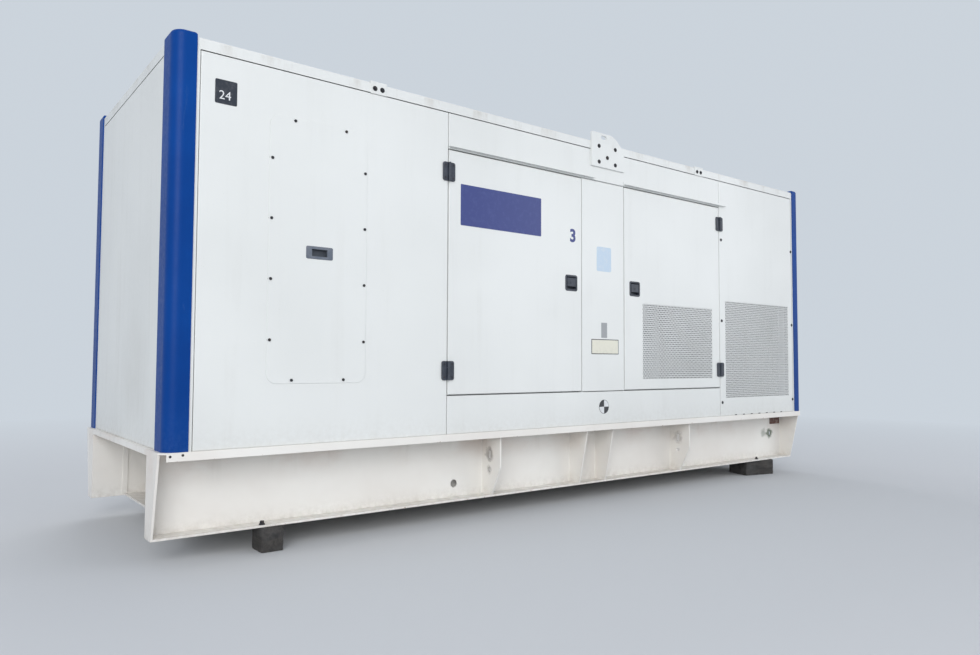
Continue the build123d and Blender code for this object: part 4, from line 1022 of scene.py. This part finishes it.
def makeCentreMark():
    # Centre-of-gravity mark: a dark disc under four quarters, light and dark in turn.
    markLook = {"radius": 0.045, "wedge": 0.0423, "steps": 8}

    def arc(radius, first, last):
        turns = [math.radians(90) * i / markLook["steps"] for i in range(first, last)]
        return [(radius * math.cos(turn), radius * math.sin(turn)) for turn in turns]

    steps = markLook["steps"]
    outlines = [(arc(markLook["radius"], 0, 4 * steps), 0.0)]
    for quarter in range(4):
        wedge = arc(markLook["wedge"], quarter * steps, (quarter + 1) * steps + 1)
        outlines.append(([(0.0, 0.0)] + wedge, film))
    makePlate("centreMark", outlines, film, 0.157, 0.111, ["black", "white", "black", "white", "black"])


makeCentreMark()
print("plates and numbers made")


# Stage: a pale floor, a broad soft key, a weaker fill, a lamp behind and an even sky
stageLook = {
    "floorSize": 400.0,
    "floor": tone(0.62, 0.63, 0.64),
    "backdrop": tone(0.60, 0.655, 0.715),
    "fade": (3.5, 9.5),
    "skyLight": tone(0.84, 0.90, 1.0),
    "skyStrength": 0.66,
    "key": {"place": (-8.5, -10.0, 5.2), "aim": (0.0, 0.0, 0.9), "size": 7.0, "power": 900.0},
    "fill": {"place": (9.0, -8.0, 3.2), "aim": (0.0, 0.0, 0.9), "size": 6.0, "power": 240.0},
    "back": {"place": (2.0, 8.5, 8.5), "aim": (0.0, 0.0, 1.2), "size": 7.0, "power": 330.0},
}
cameraLook = {
    "place": (-3.4059, -4.2003, 0.9039),
    "yaw": 37.838,
    "pitch": 2.717,
    "roll": 0.244,
    "focalPixels": 746.78,
    "photoWidth": 980,
    "sensor": 36.0,
}


def seenRays(maker):
    # 1 for rays from the camera or off a shiny surface, and 0 for those that carry light to the object.
    rays = maker.node("ShaderNodeLightPath").outputs
    seen = maker.math("MAXIMUM", rays["Is Camera Ray"], rays["Is Glossy Ray"])
    return maker.math("MAXIMUM", seen, rays["Is Transmission Ray"])


def makeFloorFinish():
    # Matt floor that turns into the backdrop's colour far from the object.
    ground = Finish("floorFinish", 0.9)
    ground.done(stageLook["floor"])
    ground.surface.inputs["Specular IOR Level"].default_value = 0.0
    fade = ground.between(ground.distance((0.0, 0.0, 0.0)), *stageLook["fade"])
    share = ground.times(fade, seenRays(ground))
    glow = ground.result("ShaderNodeEmission", {"Color": stageLook["backdrop"]})
    both = ground.result("ShaderNodeMixShader", {0: share, 1: ground.surface.outputs[0], 2: glow})
    ground.put(ground.output.inputs["Surface"], both)
    return ground.material


def makeStage():
    half = stageLook["floorSize"] / 2
    mesh = bpy.data.meshes.new("floor")
    corners = [(-half, -half, 0), (half, -half, 0), (half, half, 0), (-half, half, 0)]
    mesh.from_pydata(corners, [], [(0, 1, 2, 3)])
    mesh.materials.append(makeFloorFinish())
    linked("floor", mesh)
    for name in ("key", "fill", "back"):
        look = stageLook[name]
        lamp = linked(name, bpy.data.lights.new(name, "AREA"))
        lamp.data.size = look["size"]
        lamp.data.energy = look["power"]
        lamp.location = look["place"]
        direction = Vector(look["aim"]) - Vector(look["place"])
        lamp.rotation_euler = direction.to_track_quat("-Z", "Y").to_euler()
    world = bpy.data.worlds.new("sky")
    scene.world = world
    world.use_nodes = True
    sky = NodeMaker(world.node_tree)
    world.node_tree.nodes.clear()
    light = sky.result("ShaderNodeBackground", {"Color": stageLook["skyLight"],
                                                "Strength": stageLook["skyStrength"]})
    shown = sky.result("ShaderNodeBackground", {"Color": stageLook["backdrop"], "Strength": 1.0})
    both = sky.result("ShaderNodeMixShader", {0: seenRays(sky), 1: light, 2: shown})
    sky.node("ShaderNodeOutputWorld", {"Surface": both})
    scene.view_settings.view_transform = "Standard"


def makeCamera():
    yaw, pitch, roll = (math.radians(cameraLook[name]) for name in ("yaw", "pitch", "roll"))
    forward = Vector((math.sin(yaw) * math.cos(pitch), math.cos(yaw) * math.cos(pitch), math.sin(pitch)))
    level = Vector((math.cos(yaw), -math.sin(yaw), 0.0))
    up = level.cross(forward)
    right = math.cos(roll) * level + math.sin(roll) * up
    top = math.cos(roll) * up - math.sin(roll) * level
    camera = linked("camera", bpy.data.cameras.new("camera"))
    camera.data.sensor_width = cameraLook["sensor"]
    camera.data.lens = cameraLook["sensor"] * cameraLook["focalPixels"] / cameraLook["photoWidth"]
    camera.data.clip_end = 1000.0
    turn = Matrix((right, top, -forward)).transposed().to_4x4()
    camera.matrix_world = Matrix.Translation(cameraLook["place"]) @ turn
    scene.camera = camera


makeStage()
makeCamera()
print("stage and camera ready")
